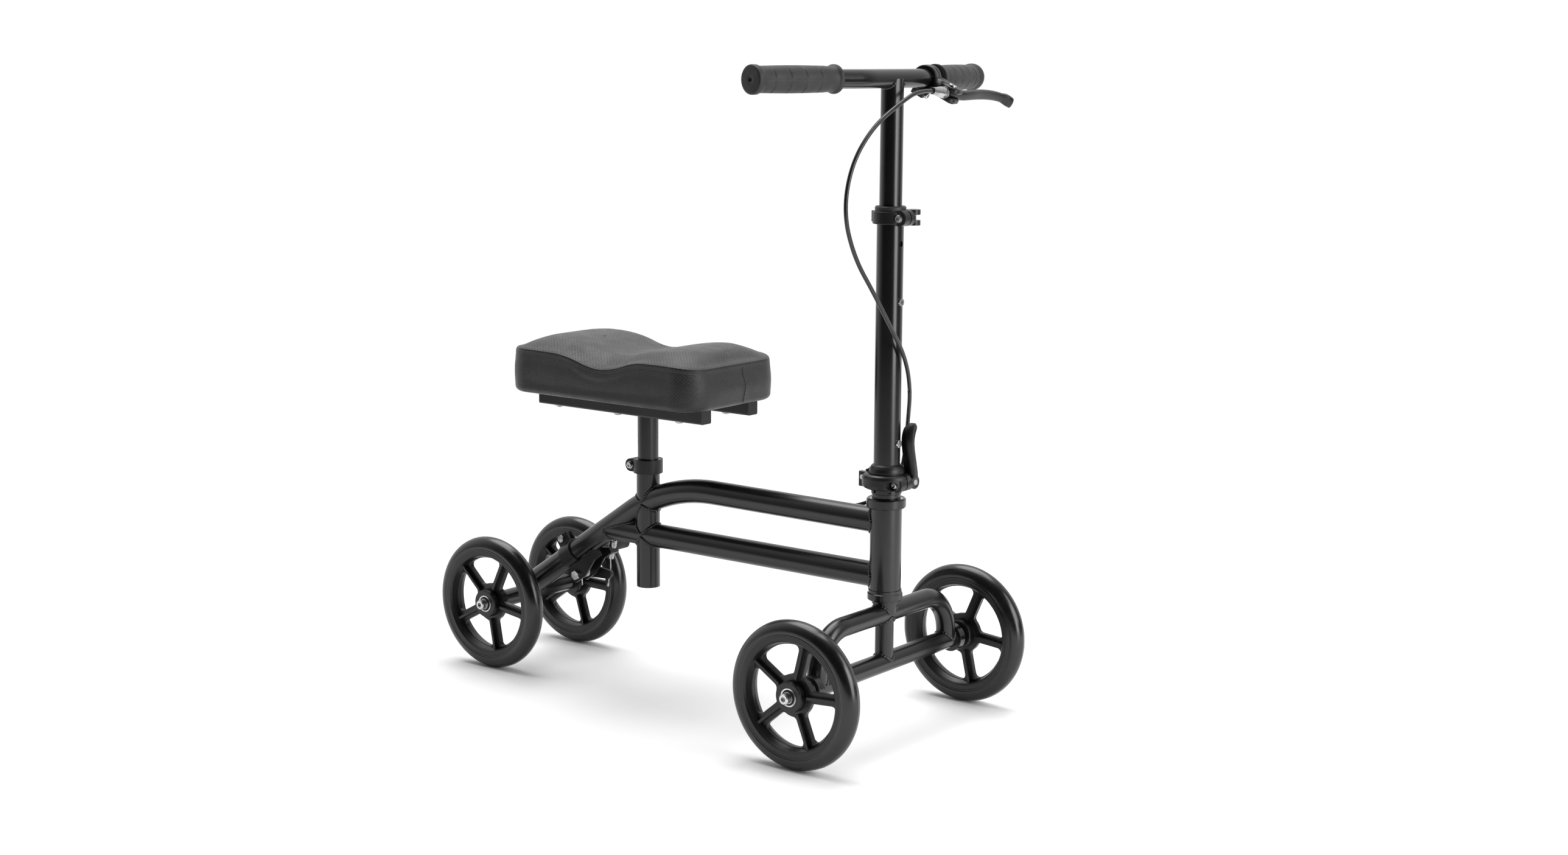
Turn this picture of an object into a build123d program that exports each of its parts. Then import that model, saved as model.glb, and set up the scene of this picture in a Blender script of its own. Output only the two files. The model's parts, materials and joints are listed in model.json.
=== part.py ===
from build123d import *
import os
from math import atan2, cos, degrees, pi, radians, sin, tan

# Steerable knee scooter, built as separate pieces. Millimetres, +X forward, +Y left, +Z up.
# The origin is on the floor, midway along and across the footprint.

# ---- driving dimensions --------------------------------------------------------------------
WHEEL_R = 89.0            # 7 inch wheels
FRONT_X = 289.0           # front axle, and the steering axis above it
REAR_X = -293.0           # rear axle
FRONT_TRACK = 359.0
REAR_TRACK = 168.0
SEAT_X = -88.0            # seat tube axis
BAR_Z = 792.0             # handlebar centre with the stem nearly down
PAD_BOTTOM_Z = 382.0
PAD_LENGTH = 317.0
PAD_WIDTH = 184.0
PAD_REAR_X = -257.0

FRAME_TUBE_R, FRAME_TUBE_BORE = 15.5, 13.5
SEAT_TUBE_R, SEAT_POST_R = 15.3, 13.6
HEAD_TUBE_R, HEAD_TUBE_BORE = 19.2, 17.0
STEERER_R, STEERER_BORE = 14.3, 12.0
COLUMN_R, COLUMN_BORE = 16.0, 14.5
STEM_R, STEM_BORE = 13.5, 11.8
BAR_R = 11.1
FORK_TUBE_R = 12.2
REAR_AXLE_TUBE_R = 11.5
M8_R = 3.97               # axle bolt shank, running in a 608 bearing's bore
RUN = 0.08                # radial clearance of sliding tubes and turning pins
GAP = 0.3                 # clearance between pieces that only pass each other

HEAD_LOW_Z, HEAD_HIGH_Z = 181.0, 282.0
TOP_TUBE_Z = 264.0        # where the top tube leaves the head tube
LOWER_TUBE_Z = 196.5
SEAT_TUBE_LOW_Z, SEAT_TUBE_HIGH_Z = 127.0, 297.0
ARCH_Z = 151.0            # fork arch, highest part of its centre line
COLLAR_LOW_Z, COLLAR_HIGH_Z = 306.0, 324.0
COLUMN_TOP_Z = 638.0
CLAMP_BOLT_OFFSET = 20.5  # the quick-release bolts pass this far from their tube's axis

CABLE_R = 2.5


# ---- building helpers ------------------------------------------------------------------------
def rod_z(x, y, z0, z1, r):
    return Pos(x, y, (z0 + z1) / 2) * Cylinder(r, z1 - z0)


def rod_y(x, z, y0, y1, r):
    return Pos(x, (y0 + y1) / 2, z) * Rot(90, 0, 0) * Cylinder(r, y1 - y0)


def rod_x(y, z, x0, x1, r):
    return Pos((x0 + x1) / 2, y, z) * Rot(0, 90, 0) * Cylinder(r, x1 - x0)


def block(x0, x1, y0, y1, z0, z1):
    return Pos((x0 + x1) / 2, (y0 + y1) / 2, (z0 + z1) / 2) * Box(x1 - x0, y1 - y0, z1 - z0)


def slab(plane, sketch, y0, y1):
    """Extrude a sketch drawn in a plane that faces -Y, from y0 to y1."""
    return extrude(plane.offset(-y1) * sketch, y1 - y0)


def turned(points):
    """Revolve a closed (radius, height) outline about +Z."""
    return revolve(Plane.XZ * make_face(Polyline(*points, close=True)), Axis.Z)


def pipe(path, r):
    """Sweep a solid round bar along a path."""
    start = Plane(origin=path @ 0, z_dir=path % 0)
    return sweep(start * Circle(r), path=path)


def hull_plate(plane, discs, y0, y1):
    """A flat plate round a chain of (x, z, radius) discs, each joined to the next."""
    shape = Pos(*discs[0][:2]) * Circle(discs[0][2])
    for (xa, za, ra), (xb, zb, rb) in zip(discs, discs[1:]):
        pair = Sketch() + [Pos(xa, za) * Circle(ra), Pos(xb, zb) * Circle(rb)]
        shape += make_hull(pair.edges())
    return slab(plane, shape, y0, y1)


def socket_head(r, height, key_r):
    """A socket-head cap standing on z = 0, with its hexagon recess on top."""
    cap = Pos(0, 0, height / 2) * Cylinder(r, height)
    cap = chamfer(cap.edges().group_by(Axis.Z)[-1], height * 0.12)
    key = extrude(Pos(0, 0, height) * RegularPolygon(key_r, 6), -height * 0.6)
    return cap - key


def facing(x, y, z, direction):
    """A location whose local +Z points along direction, for pieces built on z = 0."""
    return Plane(origin=(x, y, z), z_dir=direction).location


def arc_radii(points):
    """The largest tangent arc that each corner's runs allow: 0.45 of the shorter run."""
    radii = []
    for a, b, c in zip(points, points[1:], points[2:]):
        before, after = Vector(*b) - Vector(*a), Vector(*c) - Vector(*b)
        turn = radians(before.get_angle(after))
        radii.append(0.45 * min(before.length, after.length) / tan(turn / 2))
    return radii


# ---- wheels ----------------------------------------------------------------------------------
TYRE_BED_R = 72.0
WHEEL_HALF_WIDTH = 13.0
HUB_HALF_WIDTH = 14.0
HUB_R = 18.5
BEARING_R, BEARING_WIDTH = 11.0, 7.0
SPOKES = 5


def make_rim():
    bed, half = TYRE_BED_R, WHEEL_HALF_WIDTH
    ring = turned([
        (bed, -half), (bed, half), (66.5, half), (64.5, half - 2.0), (61.8, 3.5),
        (61.8, -3.5), (64.5, 2.0 - half), (66.5, -half),
    ])
    hub = Cylinder(HUB_R, 2 * HUB_HALF_WIDTH)
    hub = fillet(hub.edges().filter_by(GeomType.CIRCLE), 1.5)
    windows = Circle(61.0) - Circle(25.5)
    spoke_lines = [Rot(0, 0, 360 / SPOKES * k) * Pos(0, 43) for k in range(SPOKES)]
    for place in spoke_lines:
        windows -= place * Rectangle(13.5, 62)
    windows = fillet(windows.vertices(), 6.0)
    web = extrude(Circle(62.5) - Circle(HUB_R - 1) - windows, 3.0, both=True)
    ribs = [place * Box(3.4, 42.5, 17.0) for place in spoke_lines]
    wheel = ring + hub + web + ribs
    seat_depth = HUB_HALF_WIDTH - BEARING_WIDTH
    wheel -= Cylinder(9.5, 2 * HUB_HALF_WIDTH)
    for side in (-1, 1):
        wheel -= Pos(0, 0, side * (seat_depth + BEARING_WIDTH / 2)) * Cylinder(BEARING_R, BEARING_WIDTH)
    return wheel


def make_tyre():
    half, crown = WHEEL_HALF_WIDTH, WHEEL_R - WHEEL_HALF_WIDTH
    outline = Polyline((crown, -half), (TYRE_BED_R, -half), (TYRE_BED_R, half), (crown, half))
    outline += ThreePointArc((crown, half), (WHEEL_R, 0), (crown, -half))
    return revolve(Plane.XZ * make_face(outline), Axis.Z)


def make_bearings():
    """Both ball bearings of a hub, and the spacer tube between their inner rings."""
    inner, outer, width = M8_R + 0.05, BEARING_R, BEARING_WIDTH
    race = turned([
        (inner, 0), (6.0, 0), (6.0, 0.5), (9.4, 0.5), (9.4, 0), (outer, 0),
        (outer, width), (9.4, width), (9.4, width - 0.5), (6.0, width - 0.5), (6.0, width), (inner, width),
    ])
    near = HUB_HALF_WIDTH - BEARING_WIDTH
    spacer = Cylinder(6.2, 2 * near) - Cylinder(M8_R + 0.2, 2 * near)
    return Compound(children=[Pos(0, 0, near) * race, Pos(0, 0, -near - width) * race, spacer])


def wheel_nodes(name, x, y, phase):
    """One wheel; phase turns its first spoke from straight up towards +X."""
    place = Pos(x, y, WHEEL_R) * Rot(0, phase, 0) * Rot(90, 0, 0)
    return {
        f"{name}_rim": place * make_rim(),
        f"{name}_tyre": place * make_tyre(),
        f"{name}_bearings": place * make_bearings(),
    }


def axle_bolts(x, half_track, depth):
    """The two axle bolts of an axle, each with its washer, screwed inwards by depth."""
    pieces = []
    for side in (-1, 1):
        hub_face = half_track + HUB_HALF_WIDTH
        shank = rod_z(0, 0, -depth, 1.6, M8_R)
        washer = rod_z(0, 0, 0.1, 1.6, 7.0) - rod_z(0, 0, 0, 2, M8_R)
        head = Pos(0, 0, 1.6) * socket_head(6.5, 8.0, 3.4)
        place = facing(x, side * hub_face, WHEEL_R, (0, side, 0))
        pieces += [place * (shank + head), place * washer]
    return Compound(children=pieces)


# ---- frame -----------------------------------------------------------------------------------
BEND_CORNER = (-53.0, 266.0)
REAR_SLOPE = radians(34.4)
TOP_TUBE_BEND_R = 240.0
seat_bore = rod_z(SEAT_X, 0, 100, 320, SEAT_POST_R + RUN)
head_shadow = rod_z(FRONT_X, 0, HEAD_LOW_Z - 20, HEAD_HIGH_Z + 20, HEAD_TUBE_R)
axle_shadow = rod_y(REAR_X, WHEEL_R, -80, 80, REAR_AXLE_TUBE_R)


def top_tube_path():
    tail_x = REAR_X + 3
    tail_z = BEND_CORNER[1] - (BEND_CORNER[0] - tail_x) * tan(REAR_SLOPE)
    corner = (BEND_CORNER[0], 0, BEND_CORNER[1])
    return FilletPolyline((FRONT_X, 0, TOP_TUBE_Z), corner, (tail_x, 0, tail_z), radius=TOP_TUBE_BEND_R)


def lower_tube_path():
    tail_x = BEND_CORNER[0] - (BEND_CORNER[1] - LOWER_TUBE_Z) / tan(REAR_SLOPE)
    return Line((FRONT_X, 0, LOWER_TUBE_Z), (tail_x, 0, LOWER_TUBE_Z))


def frame_tubes():
    top_outside = pipe(top_tube_path(), FRAME_TUBE_R)
    lower_outside = pipe(lower_tube_path(), FRAME_TUBE_R)
    top = top_outside - pipe(top_tube_path(), FRAME_TUBE_BORE)
    lower = lower_outside - pipe(lower_tube_path(), FRAME_TUBE_BORE)
    seat = rod_z(SEAT_X, 0, SEAT_TUBE_LOW_Z, SEAT_TUBE_HIGH_Z, SEAT_TUBE_R)
    head = rod_z(FRONT_X, 0, HEAD_LOW_Z, HEAD_HIGH_Z, HEAD_TUBE_R)
    rear = rod_y(REAR_X, WHEEL_R, -69, 69, REAR_AXLE_TUBE_R)
    rear_bore = rod_y(REAR_X, WHEEL_R, -45, 45, 9.0) + rod_y(REAR_X, WHEEL_R, -70, 70, M8_R + 0.03)
    return {
        "head_tube": head - rod_z(FRONT_X, 0, HEAD_LOW_Z, HEAD_HIGH_Z, HEAD_TUBE_BORE),
        "top_tube": top - head_shadow - seat_bore - axle_shadow,
        "lower_tube": lower - head_shadow - seat_bore - top_outside,
        "seat_tube": seat - seat_bore - top_outside - lower_outside,
        "rear_axle_tube": rear - rear_bore,
    }


def headset():
    """Bearing cups pressed in the head tube, their bearings, and the fork's race and nuts."""
    upper = turned([
        (15.2, 271), (16.95, 271), (16.95, 282), (22.5, 282), (24, 283.5), (24, 292.5), (22.5, 294),
        (20, 294), (20, 286), (15.2, 286),
    ])
    lower = turned([
        (15.2, 192), (16.95, 192), (16.95, 181), (20.3, 181), (20.3, 177.5), (21.5, 176.5), (21.5, 169.5),
        (20.3, 168), (17.6, 168), (17.6, 175.5), (15.2, 175.5),
    ])
    race_bore = STEERER_R + 0.05
    bearings = [
        rod_z(0, 0, 286.2, 293.6, 19.95) - rod_z(0, 0, 286, 294, race_bore),
        rod_z(0, 0, 168.4, 175.4, 17.55) - rod_z(0, 0, 168, 176, race_bore),
    ]
    race_nut = rod_z(0, 0, 294.5, 299.6, 17.6)
    lock_nut = rod_z(0, 0, 300.0, 305.7, 18.5)
    for k in range(6):
        lock_nut -= Rot(0, 0, 60 * k + 15) * block(16.6, 20, -2.2, 2.2, 301.5, 306)
    bore = rod_z(0, 0, 290, 310, STEERER_R)
    crown_race = rod_z(0, 0, 163.6, 167.8, 15.8) - rod_z(0, 0, 160, 170, STEERER_R)
    place = Pos(FRONT_X, 0, 0)
    cups = Compound(children=[place * upper, place * lower])
    turning = [race_nut - bore, lock_nut - bore, crown_race]
    return {
        "headset_cups": cups,
        "headset_bearings": Compound(children=[place * b for b in bearings]),
        "headset_nuts": Compound(children=[place * piece for piece in turning]),
    }


def seat_clamp():
    """Split ring at the top of the seat tube, with its bolt; the lever is a piece of its own."""
    ring = rod_z(SEAT_X, 0, 279, 297, SEAT_TUBE_R + 4.0)
    bolt_x = SEAT_X - CLAMP_BOLT_OFFSET
    for y0, y1 in ((-12.0, 0.0), (0.0, 9.0)):
        ring += rod_y(bolt_x, 288, y0, y1, 8.5) + block(bolt_x, SEAT_X - 10, y0, y1, 279.5, 296.5)
    ring -= rod_z(SEAT_X, 0, 270, 300, SEAT_TUBE_R)
    ring -= block(bolt_x - 12, SEAT_X - 10, -1.2, 1.2, 270, 300)
    ring -= rod_y(bolt_x, 288, -20, 20, 3.1)
    ring -= rod_y(bolt_x, 288, -30, -12, 5.4)
    ring -= block(bolt_x - 12, bolt_x + 8, 9.2, 30, 270, 300)
    bolt = quick_release_bolt(bolt_x, 288, "x", CAM_Y)
    return {"seat_clamp": ring, "seat_clamp_bolt": bolt}


def quick_release_bolt(x, z, cam_axis, cam_y):
    """A clamp bolt along Y: head and washer on the right, cam pin on the left."""
    shank = rod_y(x, z, -13.0, cam_y, 3.0)
    head = facing(x, -13.0, z, (0, -1, 0)) * socket_head(3.9, 2.6, 2.2)
    washer = rod_y(x, z, -13.0, -12.0, 4.8)
    if cam_axis == "x":
        pin = rod_x(cam_y, z, x - 7.5, x + 7.5, 3.5)
    else:
        pin = rod_z(x, cam_y, z - 9.0, z + 9.0, 3.5)
    bolt = shank + head + pin
    return Compound(children=[bolt, washer - rod_y(x, z, -14, -11, 3.0)])


CAM_Y = 18.0              # cam pins sit this far to the left of the bolt's middle
CAM_R = 8.3


def upright_lever(x, cam_y, z, length, sway):
    """A cam lever on a pin along X, its blade along +Z (length > 0) or -Z; sway leans it back in over the tube."""
    inner_spots = [(-3.0, 0, 0), (-2.5, 0.25, 0), (-1.0, 0.55, -5.0), (2.5, 0.8, -5.5), (6.0, 0.96, -4.0)]
    outer_spots = [(11.0, 0.96, -4.0), (7.2, 0.78, -5.5), (5.2, 0.5, -4.5), (5.2, 0.25, -1.5), (7.5, 0, 0)]
    inner, outer = [
        Spline(*[(y + sway * lean, share * length) for y, share, lean in spots])
        for spots in (inner_spots, outer_spots)
    ]
    tip = ThreePointArc(inner @ 1, (8.5 - 4.0 * sway, length), outer @ 0)
    outline = inner + tip + outer + Line(outer @ 1, inner @ 0)
    lever = extrude(Plane.YZ * (make_face(outline) + Circle(CAM_R)), 7.5, both=True)
    up = 1 if length > 0 else -1
    plan = Pos(0, (length - 9 * up) / 2) * Rectangle(15, abs(length) + 9)
    plan = fillet(plan.vertices().sort_by(Axis.Y)[-2:] if up > 0 else plan.vertices().sort_by(Axis.Y)[:2], 5.5)
    lever &= slab(Plane.XZ, plan, -30, 30)
    lever -= rod_x(0, 0, -10, 10, 3.5 + RUN)
    lever -= block(-3.3, 3.3, -20, 20, -9, 9)
    return Pos(x, cam_y, z) * lever


def wrapping_lever(x, z, axis_x):
    """A cam lever on a vertical pin, its blade curved round the back of the column."""
    inner_r, outer_r = 24.5, 30.5
    from_angle, to_angle = radians(52), radians(172)
    mid = (from_angle + to_angle) / 2
    spots = [(cos(a), sin(a)) for a in (from_angle, mid, to_angle)]
    inner = ThreePointArc(*[(inner_r * c, inner_r * s) for c, s in spots])
    outer = ThreePointArc(*[(outer_r * c, outer_r * s) for c, s in spots])
    outline = inner + Line(inner @ 1, outer @ 1) + outer + Line(outer @ 0, inner @ 0)
    blade = extrude(Plane.XY * make_face(outline), 6.5, both=True)
    cam_at = Pos(x - axis_x, CAM_Y, 0)
    lever = blade + cam_at * Cylinder(CAM_R, 18.5)
    lever -= cam_at * Cylinder(3.5 + RUN, 30)
    lever -= cam_at * block(-3.6, 20, -20, 20, -3.3, 3.3)
    lever -= cam_at * block(-20, 20, -20, -3.5, -3.3, 3.3)
    return Pos(axis_x, 0, z) * lever


# ---- fork ------------------------------------------------------------------------------------
ARCH_HALF_WIDTH = 137.0
ARCH_BEND_R = 50.0
CROSS_TUBE_END = 146.0


def fork_tubes():
    arch_path = FilletPolyline(
        (FRONT_X, -ARCH_HALF_WIDTH, WHEEL_R), (FRONT_X, -ARCH_HALF_WIDTH, ARCH_Z),
        (FRONT_X, ARCH_HALF_WIDTH, ARCH_Z), (FRONT_X, ARCH_HALF_WIDTH, WHEEL_R), radius=ARCH_BEND_R,
    )
    arch_outside = pipe(arch_path, FORK_TUBE_R)
    cross_outside = rod_y(FRONT_X, WHEEL_R, -CROSS_TUBE_END, CROSS_TUBE_END, FORK_TUBE_R)
    cross = cross_outside - rod_y(FRONT_X, WHEEL_R, -128, 128, FORK_TUBE_R - 2.0)
    cross -= rod_y(FRONT_X, WHEEL_R, -150, 150, M8_R + 0.03)
    strut = rod_z(FRONT_X, 0, WHEEL_R, ARCH_Z, 11.4) - rod_z(FRONT_X, 0, WHEEL_R, ARCH_Z, 9.4)
    steerer = rod_z(FRONT_X, 0, ARCH_Z, COLLAR_HIGH_Z - 7, STEERER_R)
    steerer -= rod_z(FRONT_X, 0, ARCH_Z, COLLAR_HIGH_Z - 7, STEERER_BORE)
    bosses = [facing(FRONT_X, 0, WHEEL_R, (0, side, 0)) * axle_boss() for side in (-1, 1)]
    arch = arch_outside - pipe(arch_path, FORK_TUBE_R - 2.0) - cross_outside
    arch -= rod_y(FRONT_X, WHEEL_R, -170, 170, 8)
    for side in (-1, 1):
        arch -= rod_y(FRONT_X, WHEEL_R, side * 153 - 7, side * 153 + 7, BOSS_R)
    return {
        "fork_arch": arch,
        "fork_cross_tube": cross + bosses,
        "fork_strut": strut - arch_outside - cross_outside,
        "steerer_tube": steerer - arch_outside,
    }


BOSS_R = 17.5


def axle_boss():
    """Stepped end of the fork's cross tube that carries an axle bolt."""
    start, inner_face = CROSS_TUBE_END, FRONT_TRACK / 2 - HUB_HALF_WIDTH - GAP
    return turned([
        (M8_R + 0.03, start), (BOSS_R, start), (BOSS_R, start + 10), (13.5, start + 12),
        (13.5, inner_face - 2), (8, inner_face), (M8_R + 0.03, inner_face),
    ])


HINGE_DX, HINGE_Z = -27.5, 317.5  # fold hinge, from the steering axis and above the floor
HINGE_PIN_R = 3.0
SEAT_CONE_LOW_R, SEAT_CONE_HIGH_R = 16.5, 21.5
FOLD_CAM_Y = 21.5         # its cam stands clear of the column's foot


def fold_collar():
    """Collar on the steerer: a conical seat for the column, hinge cheeks behind, ears in front."""
    low, high = COLLAR_LOW_Z, COLLAR_HIGH_Z
    ring = turned([
        (STEERER_R, low), (25.5, low), (28.2, low + 1.6), (29.8, low + 5), (29.8, high - 5), (28.2, high - 1.6),
        (25.5, high),
        (SEAT_CONE_HIGH_R + GAP, high), (SEAT_CONE_LOW_R + GAP, high - 5.5), (STEERER_R, high - 5.5),
    ])
    lug = block(-34, -19, -12, 12, low, high)
    lug = fillet(lug.edges().filter_by(Axis.Z).group_by(Axis.X)[0], 3.0)
    lug -= rod_z(0, 0, low - 1, high + 1, 24)
    bolt_z = (low + high) / 2 - 2.5
    ears = rod_y(CLAMP_BOLT_OFFSET + 1, bolt_z, -12, FOLD_CAM_Y - 9, 8.8)
    ears -= rod_z(0, 0, low - 9, high + 9, 24)
    ring -= rod_y(CLAMP_BOLT_OFFSET, bolt_z, -40, -12, 5.4)
    ring -= block(CLAMP_BOLT_OFFSET - 8, 40, FOLD_CAM_Y - 9, 40, low - 1, high + 1)
    collar = ring + lug + ears
    collar -= block(-40, -18.5, -4.3, 4.3, HINGE_Z - 7.3, high + 1)
    collar -= rod_y(HINGE_DX, HINGE_Z, -20, 20, HINGE_PIN_R)
    collar -= rod_y(CLAMP_BOLT_OFFSET, bolt_z, -20, 20, 3.1)
    collar -= block(10, 40, -1.0, 1.0, low - 1, high + 1)
    pin = rod_y(HINGE_DX, HINGE_Z, -12.8, 12.8, HINGE_PIN_R)
    place = Pos(FRONT_X, 0, 0)
    return {
        "fold_collar": place * collar,
        "fold_bolts": Compound(children=[
            place * pin, quick_release_bolt(FRONT_X + CLAMP_BOLT_OFFSET, bolt_z, "x", FOLD_CAM_Y),
        ]),
    }


# ---- column and stem ---------------------------------------------------------------------------
COLUMN_SCREW_Z = (531.0, 361.0)
STEM_SLOT = 5.6           # width of the stem's slot; the bushing's key runs in it over the whole travel


def column_nodes():
    tube = rod_z(FRONT_X, 0, COLLAR_HIGH_Z + 1, COLUMN_TOP_Z, COLUMN_R)
    tube -= rod_z(FRONT_X, 0, COLLAR_HIGH_Z, COLUMN_TOP_Z + 1, COLUMN_BORE)
    tube -= rod_x(0, 600, FRONT_X, FRONT_X + 20, 3.5)
    for z in COLUMN_SCREW_Z:
        tube -= rod_x(0, z, FRONT_X, FRONT_X + 20, 2.5)
    foot = turned([
        (0, 319.0), (SEAT_CONE_LOW_R, 319.0), (SEAT_CONE_HIGH_R, COLLAR_HIGH_Z),
        (SEAT_CONE_HIGH_R, 327.0), (20.6, 330.5), (18.6, 333.5), (16.2, 335.5),
        (COLUMN_R, 335.5), (COLUMN_R, COLLAR_HIGH_Z + 1), (0, COLLAR_HIGH_Z + 1),
    ])
    knuckle = slab(Plane.XZ, Pos(HINGE_DX, HINGE_Z) * Circle(5.5), -4.0, 4.0)
    link = make_face(Polyline(
        (HINGE_DX - 3.5, HINGE_Z + 4), (HINGE_DX + 4.0, HINGE_Z - 3.5), (HINGE_DX + 7.0, COLLAR_HIGH_Z + 0.4),
        (-17.5, COLLAR_HIGH_Z + 0.4), (-17.5, 331.0), (-20.0, 331.0), close=True,
    ))
    knuckle += slab(Plane.XZ, link, -4.0, 4.0)
    knuckle -= rod_z(0, 0, COLLAR_HIGH_Z + 1, 340, COLUMN_R)
    knuckle -= rod_y(HINGE_DX, HINGE_Z, -5, 5, HINGE_PIN_R + RUN)
    return {
        "column_tube": tube,
        "fold_foot": Pos(FRONT_X, 0, 0) * (foot + knuckle),
        "column_screws": column_screws(),
        "stem_bushing": stem_bushing(),
        **height_clamp(),
    }


def column_screws():
    """Two screws in the front of the column's wall."""
    pieces = []
    for z in COLUMN_SCREW_Z:
        shank = rod_x(0, z, COLUMN_BORE, COLUMN_R + 0.2, 2.4)
        head = facing(COLUMN_R + 0.05, 0, z, (1, 0, 0)) * socket_head(4.6, 2.4, 2.3)
        pieces.append(Pos(FRONT_X, 0, 0) * (shank + head))
    return Compound(children=pieces)


def stem_bushing():
    """Plastic sleeve between column and stem: a collar on the column, and a key in the stem's slot."""
    top = COLUMN_TOP_Z
    sleeve = turned([
        (STEM_R + RUN, top - 28), (COLUMN_BORE - 0.02, top - 28), (COLUMN_BORE - 0.02, top),
        (18.6, top), (18.6, top + 4.5), (17.4, top + 6.0), (STEM_R + RUN, top + 6.0),
    ])
    sleeve += block(STEM_BORE + 0.4, STEM_R + 0.5, GAP - STEM_SLOT / 2, STEM_SLOT / 2 - GAP, top - 28, top - 14)
    return Pos(FRONT_X, 0, 0) * sleeve


def height_clamp():
    z = COLUMN_TOP_Z - 7.5
    ring = rod_z(0, 0, z - 7.5, z + 7.5, 21.3)
    ring = fillet(ring.edges().filter_by(GeomType.CIRCLE), 1.2)
    for y0, y1 in ((-12.0, -1.0), (1.0, 9.0)):
        ring += rod_y(CLAMP_BOLT_OFFSET, z, y0, y1, 9.3)
    ring -= rod_z(0, 0, z - 20, z + 20, COLUMN_R)
    ring -= block(10, 40, -1.0, 1.0, z - 20, z + 20)
    ring -= rod_y(CLAMP_BOLT_OFFSET, z, -20, 20, 3.1)
    ring -= rod_y(CLAMP_BOLT_OFFSET, z, -30, -12, 5.4)
    ring -= rod_z(CLAMP_BOLT_OFFSET, CAM_Y, z - 20, z + 20, CAM_R + GAP)
    ring -= rod_z(0, 0, COLUMN_TOP_Z, COLUMN_TOP_Z + 20, 19.0)
    bolt = quick_release_bolt(FRONT_X + CLAMP_BOLT_OFFSET, z, "z", CAM_Y)
    return {"height_clamp": Pos(FRONT_X, 0, 0) * ring, "height_clamp_bolt": bolt}


BAR_SWEEP_START = 58.0    # the handlebar is straight this far out, then sweeps back
BAR_END_Y, BAR_END_DX = 222.0, -33.0
GRIP_LENGTH = 127.0


def bar_point(y):
    """The handlebar's centre at a given y on the left half."""
    share = max(0.0, (y - BAR_SWEEP_START) / (BAR_END_Y - BAR_SWEEP_START))
    return (FRONT_X + BAR_END_DX * share, y, BAR_Z)


sweep_angle = atan2(-BAR_END_DX, BAR_END_Y - BAR_SWEEP_START)


def stem_nodes():
    ends = [(FRONT_X + BAR_END_DX, side * BAR_END_Y, BAR_Z) for side in (-1, 1)]
    bends = [(FRONT_X, side * BAR_SWEEP_START, BAR_Z) for side in (-1, 1)]
    path = FilletPolyline(ends[0], bends[0], bends[1], ends[1], radius=100)
    bar_outside = pipe(path, BAR_R)
    stem = rod_z(FRONT_X, 0, 340, BAR_Z, STEM_R) - rod_z(FRONT_X, 0, 339, BAR_Z, STEM_BORE)
    stem -= block(FRONT_X + 8, FRONT_X + 16, -STEM_SLOT / 2, STEM_SLOT / 2, COLUMN_TOP_Z - 265, COLUMN_TOP_Z)
    return {
        "stem_tube": stem - bar_outside,
        "handlebar": bar_outside - pipe(path, BAR_R - 1.6),
        "left_grip": make_grip(1),
        "right_grip": make_grip(-1),
        **brake_perch(),
    }


def make_grip(side):
    """Rubber grip: flanges at both ends, a barrel body with ring grooves, a closed cap."""
    length = GRIP_LENGTH
    groove_spots = [32, 55, 78, 101]
    outline = [(BAR_R, 0), (16.5, 0), (16.5, 5), (14.6, 8), (14.6, 17)]
    for spot in groove_spots:
        swell = 15.4 - abs(spot - 62) / 50
        outline += [(swell, spot - 1.2), (swell - 0.9, spot - 0.6), (swell - 0.9, spot + 0.6), (swell, spot + 1.2)]
    outline += [(15.0, length - 12), (16.7, length - 7), (16.7, length), (2.5, length), (2.5, length - 2)]
    outline += [(0, length - 2), (0, length - 4.0), (BAR_R, length - 4.0)]
    grip = turned(outline)
    for k in range(10):
        grip -= Rot(0, 0, 36 * k) * block(14.7, 17, -0.7, 0.7, 22, length - 14)
    outer = bar_point(BAR_END_Y)
    direction = (-sin(sweep_angle), side * cos(sweep_angle), 0)
    inset = length - 4.2
    start = (outer[0] - direction[0] * inset, side * outer[1] - direction[1] * inset, BAR_Z)
    return facing(*start, direction) * grip


PERCH_Y = 78.0
PERCH_TILT = radians(28)
PERCH_X_DIR = Vector(
    cos(sweep_angle) * cos(PERCH_TILT), sin(sweep_angle) * cos(PERCH_TILT), -sin(PERCH_TILT)
)
PERCH_Z_DIR = Vector(
    cos(sweep_angle) * sin(PERCH_TILT), sin(sweep_angle) * sin(PERCH_TILT), cos(PERCH_TILT)
)
# The brake lever's own frame: x ahead of the bar, y outwards along it, z across the lever.
perch_plane = Plane(origin=bar_point(PERCH_Y), x_dir=PERCH_X_DIR, z_dir=PERCH_Z_DIR)
LEVER_PIVOT = (36.0, -7.0)
ADJUSTER_SPOT = (35.0, -19.7)
ADJUSTER_DIR = (-sin(sweep_angle), -cos(sweep_angle), 0)


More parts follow.
